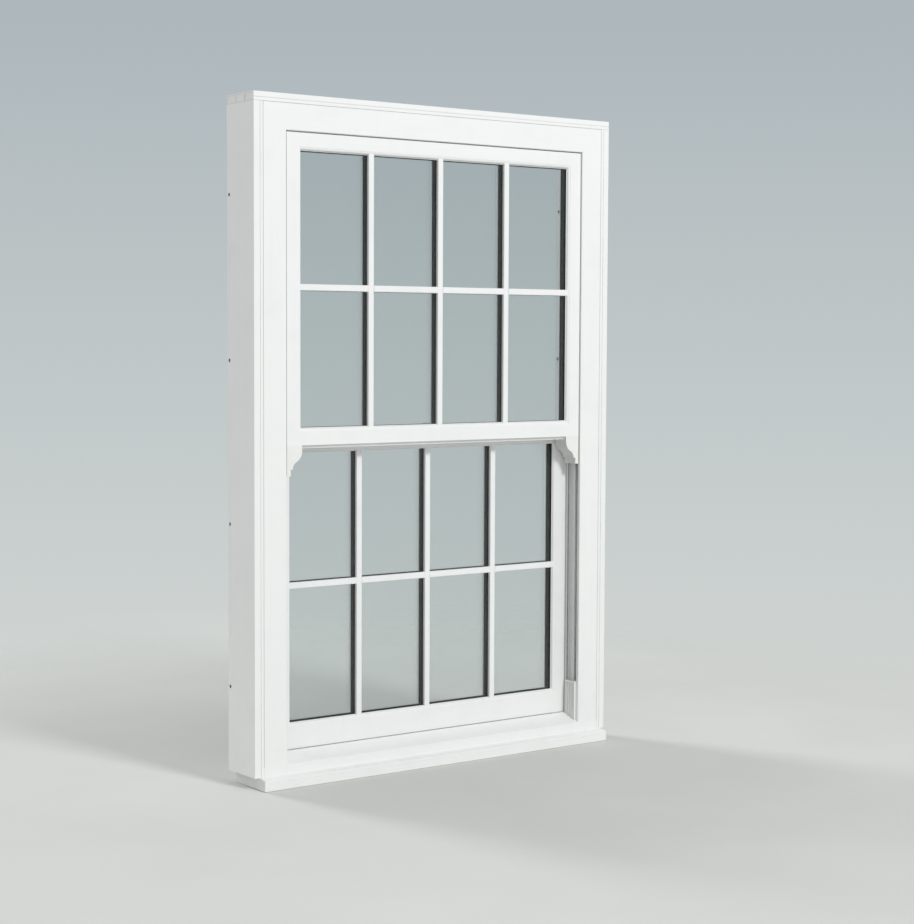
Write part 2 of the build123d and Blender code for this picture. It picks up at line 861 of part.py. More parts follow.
def meeting_rail():
    """Meeting rail of the upper sash."""
    rail = low_member(sash_section(), flange_reach, upper_face, upper_sight_low)
    for place in keeper_screw_places():
        rail -= screw_hole(place)
    bar = pivot_bar_box(outer_slot, upper_pivot_height, bar_hole_clearance)
    return rail - bar - other_side(bar)


def lower_front_wedge():
    """Region of the moulded front that the bottom rail takes from the right stile."""
    points = [
        (sight_half, lower_sight_low), (sight_half + moulding_width, lower_sight_low - moulding_width),
        (sight_half + moulding_width, 0), (-sight_half - moulding_width, 0),
        (-sight_half - moulding_width, lower_sight_low - moulding_width), (-sight_half, lower_sight_low),
    ]
    return slab(points, lower_face - cut_past, lower_face + seat_depth)


def lower_right_stile():
    """Right stile of the lower sash: square at its foot, its flange cut away round the pivot."""
    reach = flange_reach
    edge = sight_half + reach
    plane = Plane(origin=(sight_half, lower_face, lower_foot), x_dir=(1, 0, 0), z_dir=(0, 0, 1))
    stile = extrude(plane * sash_section(), lower_sight_high + reach - lower_foot)
    ends = [(sight_half, 0), (edge, 0), (edge, lower_sight_high + reach), (sight_half, lower_sight_high)]
    stile &= slab(ends)
    stile -= lower_front_wedge()
    notch_top = lower_pivot_height + notch_above_pivot
    flange_end = edge + cut_past
    stile -= box(sight_half + sash_face, flange_end, lower_face, lower_back, lower_foot, notch_top)
    stile -= latch_box(inner_slot, lower_top, latch_pocket_clearance)
    return stile - pivot_bar_box(inner_slot, lower_pivot_height, bar_hole_clearance)


def bottom_rail():
    """Deep bottom rail between the stiles, its moulding mitred to theirs."""
    section = bottom_rail_section()
    edge = sight_half + rebate_width
    plane = Plane(origin=(-edge, lower_face, lower_sight_low), x_dir=(0, 0, -1), z_dir=(1, 0, 0))
    rail = extrude(plane * section, 2 * edge)
    front = rail & lower_front_wedge()
    back = rail - box(-2 * edge, 2 * edge, 0, lower_face + seat_depth, 0, overall_height)
    rail = front + back
    for place in lift_screw_places():
        rail -= screw_hole(place)
    return rail


def pane(face, low, high, front):
    """One sheet of glass; front is its depth behind the sash's face."""
    edge = sight_half + glass_edge_cover
    y = face + front
    return box(-edge, edge, y, y + pane_thickness, low - glass_edge_cover, high + glass_edge_cover)


def ring(face, low, high, inner, outer, front, back):
    """Flat ring round a glass opening between two distances from the sight line."""
    a = sight_half + outer
    b = sight_half + inner
    y0, y1 = face + front, face + back
    around = box(-a, a, y0, y1, low - outer, high + outer)
    return around - box(-b, b, y0, y1, low - inner, high + inner)


def bar_places():
    """X of the upright bars, which leave equal glass between them."""
    glass = (2 * sight_half - bars_across * bar_width) / (bars_across + 1)
    step = glass + bar_width
    return [-sight_half - bar_width / 2 + (number + 1) * step for number in range(bars_across)]


def bar_section(width, height):
    """Section of a planted bar standing on the glass, rounded at its outer corners."""
    points = [(-width / 2, 0), (width / 2, 0), (width / 2, height), (-width / 2, height)]
    return outline(points, [((width / 2, height), bar_radius), ((-width / 2, height), bar_radius)])


def lattice(low, high, glass_face, outward):
    """Bars on one face of the glass: whole uprights, with crossbars cut in between them.
    outward is -1 towards the outside and +1 towards the room."""
    section = bar_section(bar_width, bar_height)
    start = low - moulding_width
    length = high + moulding_width - start
    bars = []
    for x in bar_places():
        plane = Plane(origin=(x, glass_face, start), x_dir=(outward, 0, 0), z_dir=(0, 0, 1))
        bars.append(extrude(plane * section, length))
    middle = (low + high) / 2 + crossbar_above_middle
    edge = sight_half + moulding_width
    starts = [-edge] + [x + bar_width / 2 for x in bar_places()]
    ends = [x - bar_width / 2 for x in bar_places()] + [edge]
    for x0, x1 in zip(starts, ends):
        plane = Plane(origin=(x0, glass_face, middle), x_dir=(0, 0, -outward), z_dir=(1, 0, 0))
        bars.append(extrude(plane * section, x1 - x0))
    return bars


def spacer(face, low, high):
    """Edge spacer of the unit, its seal, and the spacer bars that stand behind the planted bars."""
    front = glass_front + pane_thickness
    back = front + cavity
    frame = ring(face, low, high, spacer_start, spacer_start + spacer_width, front, back)
    seal = ring(face, low, high, spacer_start + spacer_width, glass_edge_cover, front, back)
    middle = (low + high) / 2 + crossbar_above_middle
    half = inner_spacer_bar_width / 2
    edge = sight_half + spacer_start
    grid = box(-edge, edge, face + front, face + back, middle - half, middle + half)
    for x in bar_places():
        z0, z1 = low - spacer_start, high + spacer_start
        grid += box(x - half, x + half, face + front, face + back, z0, z1)
    return [frame + grid, seal]


def setting_blocks(face, low):
    """Blocks in the rebate that carry the glass unit."""
    blocks = []
    for side in (-1, 1):
        x = side * (sight_half - setting_block_inset)
        half = setting_block_length / 2
        y0, y1 = face + seat_depth, face + bead_front
        blocks.append(box(x - half, x + half, y0, y1, low - rebate_width, low - glass_edge_cover))
    return blocks


def scribed(bars, members):
    """Bars cut to the moulding that they meet."""
    cut = []
    for bar in bars:
        for member in members:
            bar -= member
        cut.append(bar)
    return cut


def beads(face, low, high):
    """Four glazing beads on the room side."""
    section = bead_section()
    right = right_member(section, rebate_width, face, low, high)
    return [
        right, other_side(right),
        top_member(section, rebate_width, face, high),
        low_member(section, rebate_width, face, low),
    ]


def glaze(name, face, low, high, mouldings):
    """Save every piece of one sash's glazing."""
    outer_pane = pane(face, low, high, glass_front)
    inner_pane = pane(face, low, high, glass_back - pane_thickness)
    save(f"{name}_panes", outer_pane, inner_pane)
    save(f"{name}_spacer", *spacer(face, low, high))
    gasket_end = gasket_setback + gasket_width
    outer_gasket = ring(face, low, high, gasket_setback, gasket_end, seat_depth, glass_front)
    inner_gasket = ring(face, low, high, gasket_setback, gasket_end, glass_back, bead_front)
    save(f"{name}_gaskets", outer_gasket, inner_gasket)
    save(f"{name}_setting_blocks", *setting_blocks(face, low))
    bead_set = beads(face, low, high)
    outer_zone = ring(face, low, high, gasket_setback, glass_edge_cover, seat_depth, glass_front)
    inner_zone = ring(face, low, high, gasket_setback, glass_edge_cover, glass_back, bead_front)
    outer = scribed(lattice(low, high, face + glass_front, -1), mouldings + [outer_zone])
    inner = scribed(lattice(low, high, face + glass_back, 1), bead_set + [inner_zone])
    save(f"{name}_glazing_bars", *outer, *inner)
    save(f"{name}_beads", *bead_set)


def right_horn():
    """Right horn: a rounded shoulder, a hollow, a step and a nib, under the stile."""
    outer = sight_half + sash_face
    wide = sight_half
    tip = outer - horn_tip_width
    step = outer - horn_step_width
    turn = outer - horn_round_end
    top = upper_foot + flange_width
    shoulder = upper_foot - horn_shoulder_drop
    middle = upper_foot - horn_round_drop
    step_height = horn_foot + horn_step_height
    round_point = (
        wide + horn_round_across * (turn - wide),
        middle + horn_curve_share * (shoulder - middle),
    )
    hollow_point = (
        step - horn_hollow_across * (step - turn),
        middle - horn_curve_share * (middle - step_height),
    )
    edges = [
        Line((outer, horn_foot), (outer, top)),
        Line((outer, top), (wide, top)),
        Line((wide, top), (wide, shoulder)),
        ThreePointArc((wide, shoulder), round_point, (turn, middle)),
        ThreePointArc((turn, middle), hollow_point, (step, step_height)),
        Line((step, step_height), (tip, step_height)),
        Line((tip, step_height), (tip, horn_foot)),
        Line((tip, horn_foot), (outer, horn_foot)),
    ]
    plane = Plane(origin=(0, upper_back, 0), x_dir=(1, 0, 0), z_dir=(0, -1, 0))
    horn = extrude(plane * make_face(Curve() + edges), sash_thickness)
    edge = sight_half + flange_reach
    back_face = upper_face + flange_setback
    return horn - box(-edge, edge, back_face, upper_back, upper_foot, top + cut_past)


def pivot_set(slot, height):
    """Right-hand pivot bar and the cam that holds it in the balance shoe."""
    bar = pivot_bar_box(slot, height, 0)
    start = inset(channel_front)
    cam = rod_x(start, start + cam_length, slot, height, cam_diameter - 2 * cam_running_clearance)
    return bar, cam - bar


def right_shoe(slot, height):
    """Balance shoe in the right-hand channel, bored for the cam and for the foot of the rod."""
    half = channel_width / 2 - shoe_clearance
    front = inset(channel_front - shoe_clearance)
    back = inset(channel_back + shoe_clearance)
    foot = height - shoe_below_pivot
    shoe = box(front, back, slot - half, slot + half, foot, foot + shoe_height)
    shoe = chamfer(shoe.edges().filter_by(Axis.X), shoe_chamfer)
    shoe -= rod_x(front, inset(channel_front - cam_length), slot, height, cam_diameter)
    top = foot + shoe_height
    return shoe - rod_z(inset(tube_inset), slot, top - rod_foot, top, rod_diameter)


def right_rod(slot, height, top):
    """Rod that rises from the shoe into the balance tube."""
    return rod_z(inset(tube_inset), slot, height + rod_seat, top, rod_diameter)


def end_block(face, foot, slot, height):
    """Block that fills the foot of the right stile's chamber and grips the pivot bar."""
    c = end_block_clearance
    x0 = sight_half + rebate_width + sash_wall + c
    x1 = sight_half + sash_face - sash_wall - c
    y0 = face + flange_setback + sash_wall + c
    y1 = face + sash_thickness - sash_wall - c
    block = box(x0, x1, y0, y1, foot, foot + end_block_height)
    return block - pivot_bar_box(slot, height, 0)


def sash_steels(face, low, high, foot_gap):
    """Steels in the chambers of both stiles of one sash."""
    c = steel_clearance
    x0 = sight_half + rebate_width + sash_wall + c
    x1 = sight_half + sash_face - sash_wall - c
    y0 = face + flange_setback + sash_wall + c
    y1 = face + sash_thickness - sash_wall - c
    right = box_steel(x0, x1, y0, y1, low + foot_gap, high - steel_end_gap / 2, "z")
    return [right, other_side(right)]


def latch_case(slot, top):
    """Case of the right-hand tilt latch: a box let into the sash, closed by a cover with a slot."""
    start = inset(latch_start)
    end = start - latch_case_length
    half = latch_case_width / 2
    inside = half - latch_case_wall
    foot = top - latch_case_height
    high = top + latch_cover_thickness
    case = box(end, start, slot - half, slot + half, foot, top)
    cover = box(end, start - side_gap, slot - half, slot + half, top, high)
    case += fillet(cover.edges().filter_by(Axis.Z), latch_cover_radius)
    x0, z0, z1 = end + latch_case_wall, foot + latch_case_wall, top - latch_case_wall
    case -= box(x0, start, slot - inside, slot + inside, z0, z1)
    reach = latch_button_length / 2 + latch_bolt_clearance + latch_end_clearance
    wide = latch_button_width / 2 + latch_bolt_clearance
    x0, x1 = latch_button_place() - reach - latch_travel, latch_button_place() + reach
    return case - box(x0, x1, slot - wide, slot + wide, z1 - latch_case_wall, high)


def latch_button_place():
    """X of the middle of the right-hand latch's button at rest."""
    return inset(latch_start + latch_button_setback)


def latch_bolt(slot, top):
    """Right-hand latch bolt with its button; the nose enters the slot of the track."""
    half = latch_bolt_width / 2
    low = top - latch_case_height + latch_case_wall + latch_bolt_clearance
    high = top - latch_case_wall - latch_bolt_clearance
    tip = inset(web_face - latch_bolt_engagement)
    end = inset(latch_start) - latch_case_length + latch_case_wall
    back = end + latch_travel + latch_end_clearance
    flat = slot + half - latch_bolt_width * latch_nose_flat_share
    section = outline([
        (back, slot - half), (tip - latch_nose_length, slot - half), (tip, flat),
        (tip, slot + half), (back, slot + half),
    ])
    bolt = extrude(Pos(0, 0, low) * section, high - low)
    x = latch_button_place()
    button_top = top + latch_cover_thickness + latch_button_rise
    reach = latch_button_length / 2
    wide = latch_button_width / 2
    button = box(x - reach, x + reach, slot - wide, slot + wide, high - cut_past, button_top)
    return bolt + fillet(button.edges().group_by(Axis.Z)[-1], latch_button_radius)


# Hardware at the meeting rails and on the bottom rail

def interlock(face, depth, outward, foot):
    """Interlock strip on one meeting rail; outward is -1 towards the outside, +1 towards the room."""
    edge = sight_half - interlock_end_gap
    low = foot + interlock_low
    high = low + interlock_height
    lead = interlock_lead
    near, far = face + outward * (depth - lead), face + outward * depth
    section = outline([
        (face, low), (face, high), (near, high),
        (far, high - lead), (far, low + lead), (near, low),
    ])
    return along_width(section, -edge, edge)


def nose_level():
    """Height of the middle of the fastener's nose."""
    return lower_top + fastener_base_height + hub_lift + nose_thickness / 2


def keeper():
    """Keeper on the room face of the upper meeting rail, with the mouth that the nose enters."""
    half = keeper_width / 2
    back = upper_back + upper_interlock_depth
    high = upper_sight_low - keeper_top_gap
    body = box(-half, half, upper_back, back, keeper_low + keeper_step, high)
    body += box(-half, half, upper_back, upper_back + keeper_plate, keeper_low, high)
    body = fillet(body.edges().filter_by(Axis.Y), keeper_radius)
    z = nose_level()
    mouth = keeper_mouth_width / 2
    tall = keeper_mouth_height / 2
    body -= box(-mouth, mouth, back - keeper_mouth_depth, back + cut_past, z - tall, z + tall)
    for place in keeper_screw_places():
        body -= screw_hole(place)
    return body


def fastener_screw_places():
    """Seats of the screws sunk in the two ends of the fastener's base."""
    seat = lower_top + fastener_base_height - fastener_screw_sink
    x = fastener_base_length / 2 - fastener_screw_inset
    return [Pos(side * x, fastener_y, seat) for side in (-1, 1)]


def fastener_base():
    """Base of the cam fastener on the lower sash's top rail, with its pivot pin."""
    half = fastener_base_length / 2
    wide = fastener_base_width / 2
    top = lower_top + fastener_base_height
    y0 = fastener_y - wide + fastener_base_trim
    base = box(-half, half, y0, fastener_y + wide, lower_top, top)
    base = fillet(base.edges().filter_by(Axis.Z), fastener_base_radius)
    base = fillet(base.edges().group_by(Axis.Z)[-1], fastener_edge_radius)
    sunk = screw_head_diameter / 2 + screw_head_clearance
    for place in fastener_screw_places():
        base -= screw_hole(place)
        base -= place * Pos(0, 0, fastener_screw_sink) * Cylinder(sunk, 2 * fastener_screw_sink)
    high = top + hub_lift + nose_thickness + handle_rise + hub_pin_rise
    return base + rod_z(0, fastener_y, top - cut_past, high, hub_pin_diameter)


def fastener_lever():
    """Lever of the cam fastener, open: handle to the right, nose turned towards the room."""
    low = lower_top + fastener_base_height + hub_lift
    high = low + nose_thickness
    top = high + handle_rise
    mouth_floor = upper_back + upper_interlock_depth - keeper_mouth_depth
    reach = fastener_y - mouth_floor - nose_tip_clearance
    angle = radians(nose_half_angle)
    across, along = reach * sin(angle), reach * cos(angle)
    sector = make_face(Curve() + [
        Line((0, 0), (-across, along)),
        ThreePointArc((-across, along), (0, reach), (across, along)),
        Line((across, along), (0, 0)),
    ])
    nose = extrude(Pos(0, fastener_y, low) * sector, nose_thickness)
    hub = rod_z(0, fastener_y, low, top, hub_diameter)
    wide = handle_width / 2
    grip = box(0, handle_length, fastener_y - wide, fastener_y + wide, high, top)
    grip = fillet(grip.edges().filter_by(Axis.Z).group_by(Axis.X)[-1], wide - lever_tip_flat / 2)
    lever = nose + hub + grip
    lever = fillet(lever.edges().group_by(Axis.Z)[-1], lever_edge_radius)
    bore = hub_pin_diameter + 2 * pin_running_clearance
    return lever - rod_z(0, fastener_y, low - cut_past, top + cut_past, bore)


def lift_screw_places():
    """Seats of the screws of both finger lifts."""
    places = []
    z = lower_pivot_height + lift_above_pivot + lift_height - lift_screw_drop
    for middle in (-lift_spacing / 2, lift_spacing / 2):
        for side in (-1, 1):
            x = middle + side * (lift_width / 2 - lift_screw_inset)
            places.append(Pos(x, lower_back + lift_plate, z) * Rot(-90, 0, 0))
    return places


def lift(middle):
    """Finger lift: a plate on the bottom rail with a lip that curls up in front of it."""
    low = lower_pivot_height + lift_above_pivot
    high, lip = low + lift_height, low + lift_lip_height
    back = lower_back
    plate, out = back + lift_plate, back + lift_out
    behind, inside = out - lift_wall, low + lift_wall
    section = outline(
        [
            (back, low), (out, low), (out, lip), (behind, lip),
            (behind, inside), (plate, inside), (plate, high), (back, high),
        ],
        [
            ((out, low), lift_outer_radius),
            ((out, lip), lift_lip_radius), ((behind, lip), lift_lip_radius),
            ((behind, inside), lift_inner_radius), ((plate, inside), lift_inner_radius),
        ],
    )
    piece = along_width(section, middle - lift_width / 2, middle + lift_width / 2)
    for place in lift_screw_places():
        piece -= screw_hole(place)
    return piece


def bottom_brush():
    """Brush under the bottom rail that closes the gap above the floor of the frame."""
    y = lower_face + sash_thickness / 2
    edge = sight_half + rebate_width
    base_low = lower_foot + brush_mouth_depth
    half = brush_base_width / 2
    pile = brush_pile_width / 2
    base = box(-edge, edge, y - half, y + half, base_low, base_low + brush_base_depth)
    return base + box(-edge, edge, y - pile, y + pile, floor_level + brush_clearance, base_low)


os.makedirs("parts", exist_ok=True)

jamb = right_jamb()
save("jamb_right", jamb)
save("jamb_left", other_side(jamb))
save("head", head())
save("frame_bottom", frame_bottom())
save("sill", sill())
cap = right_end_cap()
save("sill_end_caps", cap, other_side(cap))
strip = right_strip()
save("extension_right", strip)
save("extension_left", other_side(strip))
save("extension_head", head_strip())
block = right_stop_block()
save("stop_blocks", block, other_side(block))
stop = right_track_stop()
save("track_stops", stop, other_side(stop))
tubes = balance_tubes() + balance_bushes()
save("balance_tubes", *tubes, *[other_side(piece) for piece in tubes])
frame_screws = balance_screws() + [track_stop_place() * screw()]
save("frame_screws", *frame_screws, *[other_side(piece) for piece in frame_screws])
save("frame_steels", *frame_steels())
save("frame_brush_seals", *frame_brushes())

upper_stile = upper_right_stile()
upper_top_rail = pocketed_top_rail(upper_face, outer_slot, upper_sight_high)
upper_low_rail = meeting_rail()
save("upper_stile_right", upper_stile)
save("upper_stile_left", other_side(upper_stile))
save("upper_top_rail", upper_top_rail)
save("upper_meeting_rail", upper_low_rail)
upper_mouldings = [upper_stile, other_side(upper_stile), upper_top_rail, upper_low_rail]
glaze("upper", upper_face, upper_sight_low, upper_sight_high, upper_mouldings)
horn = right_horn()
save("horns", horn, other_side(horn))
save("upper_interlock", interlock(upper_back, upper_interlock_depth, 1, upper_foot))
save("keeper", keeper())
save("keeper_screws", *[place * screw() for place in keeper_screw_places()])
upper_bar, upper_cam = pivot_set(outer_slot, upper_pivot_height)
upper_shoe = right_shoe(outer_slot, upper_pivot_height)
upper_rod = right_rod(outer_slot, upper_pivot_height, rod_top)
save("upper_pivot_bars", upper_bar, upper_cam, other_side(upper_bar), other_side(upper_cam))
save("upper_balance_shoes", upper_shoe, other_side(upper_shoe))
save("upper_balance_rods", upper_rod, other_side(upper_rod))
steel_rise = pivot_above_sash_foot + end_block_height
save("upper_steels", *sash_steels(upper_face, upper_foot, upper_top, steel_rise))
case = latch_case(outer_slot, upper_top)
save("upper_latch_cases", case, other_side(case))
bolt = latch_bolt(outer_slot, upper_top)
save("upper_latch_bolt_right", bolt)
save("upper_latch_bolt_left", other_side(bolt))

lower_stile = lower_right_stile()
lower_top_rail = pocketed_top_rail(lower_face, inner_slot, lower_sight_high)
for place in fastener_screw_places():
    lower_top_rail -= screw_hole(place)
lower_bottom_rail = bottom_rail()
save("lower_stile_right", lower_stile)
save("lower_stile_left", other_side(lower_stile))
save("lower_top_rail", lower_top_rail)
save("lower_bottom_rail", lower_bottom_rail)
lower_mouldings = [lower_stile, other_side(lower_stile), lower_top_rail, lower_bottom_rail]
glaze("lower", lower_face, lower_sight_low, lower_sight_high, lower_mouldings)
lower_interlock_depth = lower_face - upper_back - upper_interlock_depth - interlock_clearance
save("lower_interlock", interlock(lower_face, lower_interlock_depth, -1, upper_foot))
save("lower_bottom_brush", bottom_brush())
lower_bar, lower_cam = pivot_set(inner_slot, lower_pivot_height)
lower_shoe = right_shoe(inner_slot, lower_pivot_height)
lower_rod = right_rod(inner_slot, lower_pivot_height, rod_top - lower_travel)
save("lower_pivot_bars", lower_bar, lower_cam, other_side(lower_bar), other_side(lower_cam))
foot_block = end_block(lower_face, lower_foot, inner_slot, lower_pivot_height)
save("lower_end_blocks", foot_block, other_side(foot_block))
save("lower_balance_shoes", lower_shoe, other_side(lower_shoe))
save("lower_balance_rods", lower_rod, other_side(lower_rod))
save("lower_steels", *sash_steels(lower_face, lower_foot, lower_top, steel_rise))
case = latch_case(inner_slot, lower_top)
save("lower_latch_cases", case, other_side(case))
bolt = latch_bolt(inner_slot, lower_top)
save("lower_latch_bolt_right", bolt)
save("lower_latch_bolt_left", other_side(bolt))
save("fastener_base", fastener_base())
save("fastener_lever", fastener_lever())
save("sash_lifts", lift(-lift_spacing / 2), lift(lift_spacing / 2))
hardware_places = fastener_screw_places() + lift_screw_places()
save("lower_sash_screws", *[place * screw() for place in hardware_places])
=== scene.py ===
# %% [markdown]
# # A white vertical sliding sash window
# The window is built in CAD first. This script loads those solids as a fixed frame and gives them their
# looks: the skin of each material, and the small repeated things that solids leave plain, such as the
# bristles of the brush seals, the twisted rods of the balances and the screws. Lengths are in metres,
# X runs along the width, Z is up, and the outer face looks towards -Y.

# %% Load the frame
import json
import math
import bmesh
import bpy
from mathutils import Matrix, Vector

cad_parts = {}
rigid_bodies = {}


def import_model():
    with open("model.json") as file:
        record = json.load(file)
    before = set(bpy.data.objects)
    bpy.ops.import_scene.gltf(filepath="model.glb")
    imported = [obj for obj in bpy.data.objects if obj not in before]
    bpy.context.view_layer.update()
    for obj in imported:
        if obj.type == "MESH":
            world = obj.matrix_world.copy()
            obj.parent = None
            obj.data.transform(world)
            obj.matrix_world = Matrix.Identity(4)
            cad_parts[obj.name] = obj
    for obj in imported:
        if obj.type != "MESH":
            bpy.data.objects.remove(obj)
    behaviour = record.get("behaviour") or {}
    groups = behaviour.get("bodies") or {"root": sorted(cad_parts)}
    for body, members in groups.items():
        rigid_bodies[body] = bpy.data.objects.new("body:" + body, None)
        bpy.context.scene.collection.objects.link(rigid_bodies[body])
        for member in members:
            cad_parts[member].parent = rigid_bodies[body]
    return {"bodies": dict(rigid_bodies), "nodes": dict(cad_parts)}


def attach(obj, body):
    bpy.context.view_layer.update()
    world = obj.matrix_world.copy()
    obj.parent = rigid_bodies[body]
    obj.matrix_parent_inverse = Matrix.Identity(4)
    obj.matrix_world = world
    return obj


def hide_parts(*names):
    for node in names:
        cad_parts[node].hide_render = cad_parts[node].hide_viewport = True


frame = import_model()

MM = 0.001
nodes = frame["nodes"]
own = set(nodes.values()) | set(frame["bodies"].values())
for spare in [o for o in bpy.data.objects if o not in own]:
    bpy.data.objects.remove(spare)
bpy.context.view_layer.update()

# %% [markdown]
# ## Colour and nodes
# Colours are written the way a paint chart gives them, as sRGB hex values. The renderer wants linear
# light, so one function turns them. A material is a small graph of nodes, and so is each tree that makes
# geometry. Nodes could be added line by line, with a line for each setting and link, or with a helper for
# every kind. One function does it for all kinds here: it adds a node, sets it and joins its inputs, so
# that a recipe reads as a list of what feeds what.

# %% Colour and node helpers
def linear(code):
    """Linear RGBA from an sRGB hex colour."""
    parts = [int(code[i:i + 2], 16) / 255 for i in (1, 3, 5)]
    return [p / 12.92 if p <= 0.04045 else ((p + 0.055) / 1.055) ** 2.4 for p in parts] + [1.0]


def wire(tree, node, **inputs):
    """Fills inputs, given by name or as i0, i1 by place; a node stands for its first live output."""
    for name, value in inputs.items():
        key = int(name[1:]) if name[1:].isdigit() else name.replace("_", " ")
        if isinstance(value, bpy.types.Node):
            value = next(out for out in value.outputs if out.enabled)
        if isinstance(value, bpy.types.NodeSocket):
            tree.links.new(value, node.inputs[key])
        else:
            node.inputs[key].default_value = value


def add(tree, kind, settings=None, **inputs):
    """Adds a node with its settings and links; the setting "stops" holds a ramp's (position, hex) pairs."""
    node = tree.nodes.new(kind)
    for name, value in (settings or {}).items():
        if name == "stops":
            marks = node.color_ramp.elements
            for mark, (position, code) in ((marks[0], value[0]), (marks[1], value[-1])):
                mark.position, mark.color = position, linear(code)
            for position, code in value[1:-1]:
                marks.new(position).color = linear(code)
        else:
            setattr(node, name, value)
    wire(tree, node, **inputs)
    return node


print("linear white", [round(v, 3) for v in linear("#eef0ee")])

# %% [markdown]
# ## What the materials share
# Every surface here starts from the Principled shader. A value that is the same all over is set on the
# shader's own socket. A value that drifts comes from noise on object coordinates, which stay with the
# piece when it moves, and the size of each patch is a real one. A picture could give the same drift, but
# it would repeat, and blur close by.

# %% Shader and patches
def material(name, constants):
    """A new material; returns it with its tree and its shader."""
    made = bpy.data.materials.new(name)
    made.use_nodes = True
    tree = made.node_tree
    shader = tree.nodes["Principled BSDF"]
    for key, value in constants.items():
        shader.inputs[key].default_value = value
    return made, tree, shader


def per_metre(*sizes):
    """How often each pattern size goes into a metre."""
    return [1 / size for size in sizes]


def patches(tree, place, size, found, given, detail=3.0, roughness=0.5):
    """A number that changes in patches of a real size; the noise range found becomes the range given."""
    noise = add(tree, "ShaderNodeTexNoise", Vector=place, Scale=1 / size,
                Detail=detail, Roughness=roughness)
    return add(tree, "ShaderNodeMapRange", Value=noise, From_Min=found[0], From_Max=found[1],
               To_Min=given[0], To_Max=given[1])


print("noise scale for 90 mm patches", round(per_metre(90 * MM)[0], 2))

# %% [markdown]
# ## Dirt and painted shade in the joint round the frame
# Strips are added round the frame, and dirt settles in the joint between strip and frame, a millimetre
# wide at most, where the V of the joint also holds a thin shadow. It could be modelled as a groove with a
# dark filler, but the solids close there. So the skin gets darker by its distance from the joint, a line
# that is partly dirt and partly painted shade. Its place is read from the solids: the strips at the
# sides meet the frame at plus and minus one X, and the one on top at one Z.

# %% Joint dirt and painted shade
LEVEL, DEEP, UPRIGHT = 0, 1, 2
# The dark line in the joint is partly dirt and partly painted shade.
JOINT_DIRT_SHADE_CORE, JOINT_DIRT_SHADE_EDGE = 0.35 * MM, 1.0 * MM
JOINT_DIRT_SHADE_SHARE = 0.6


def lowest(node, axis):
    """Smallest coordinate of a solid along one axis."""
    return min(v.co[axis] for v in nodes[node].data.vertices)


def joint_dirt_and_shade(tree, place, axis, joint):
    """Share of dirt and painted shade round the joint that lies at plus and minus a place on one axis."""
    on_axis = add(tree, "ShaderNodeSeparateXYZ", Vector=place).outputs[axis]
    from_middle = add(tree, "ShaderNodeMath", {"operation": "ABSOLUTE"}, i0=on_axis)
    past_joint = add(tree, "ShaderNodeMath", {"operation": "SUBTRACT"}, i0=from_middle, i1=joint)
    away = add(tree, "ShaderNodeMath", {"operation": "ABSOLUTE"}, i0=past_joint)
    return add(tree, "ShaderNodeMapRange", Value=away, From_Min=JOINT_DIRT_SHADE_CORE, From_Max=JOINT_DIRT_SHADE_EDGE,
               To_Min=JOINT_DIRT_SHADE_SHARE, To_Max=0.0)


side_joint, top_joint = lowest("extension_right", LEVEL), lowest("extension_head", UPRIGHT)
print("joints at mm", round(side_joint / MM, 1), round(top_joint / MM, 1))

# %% [markdown]
# ## White PVC-U, extruded
# Frame and sashes are PVC-U profile: a stiff white plastic pushed through a steel die, so the skin has a
# satin gloss and very faint die lines that run along each length. It could be one flat white, but then it
# would look like paper. Here the colour drifts by a percent or two over a hand's breadth, rain leaves a
# thin grey film with runs and a few specks in it, and the lines are drawn along the profile. The true
# lines are a few hundredths of a millimetre apart, too fine to show, so they are drawn 1.6 mm apart, and
# the grain between them 1.1 mm wide. Uprights and level members need the lines turned, so one recipe
# makes both.

# %% Satin white profile
LINE_SPACING, LINE_LENGTH = 1.6 * MM, 330 * MM
DRIFT_SIZE = 90 * MM
RUN_WIDTH, RUN_LENGTH = 9 * MM, 450 * MM
SPECK_SPACING, SPECK_PATCH = 14 * MM, 110 * MM
GLOSS_PATCH = 30 * MM
SKIN_GRAIN, SKIN_DEPTH = 1.1 * MM, 0.02 * MM


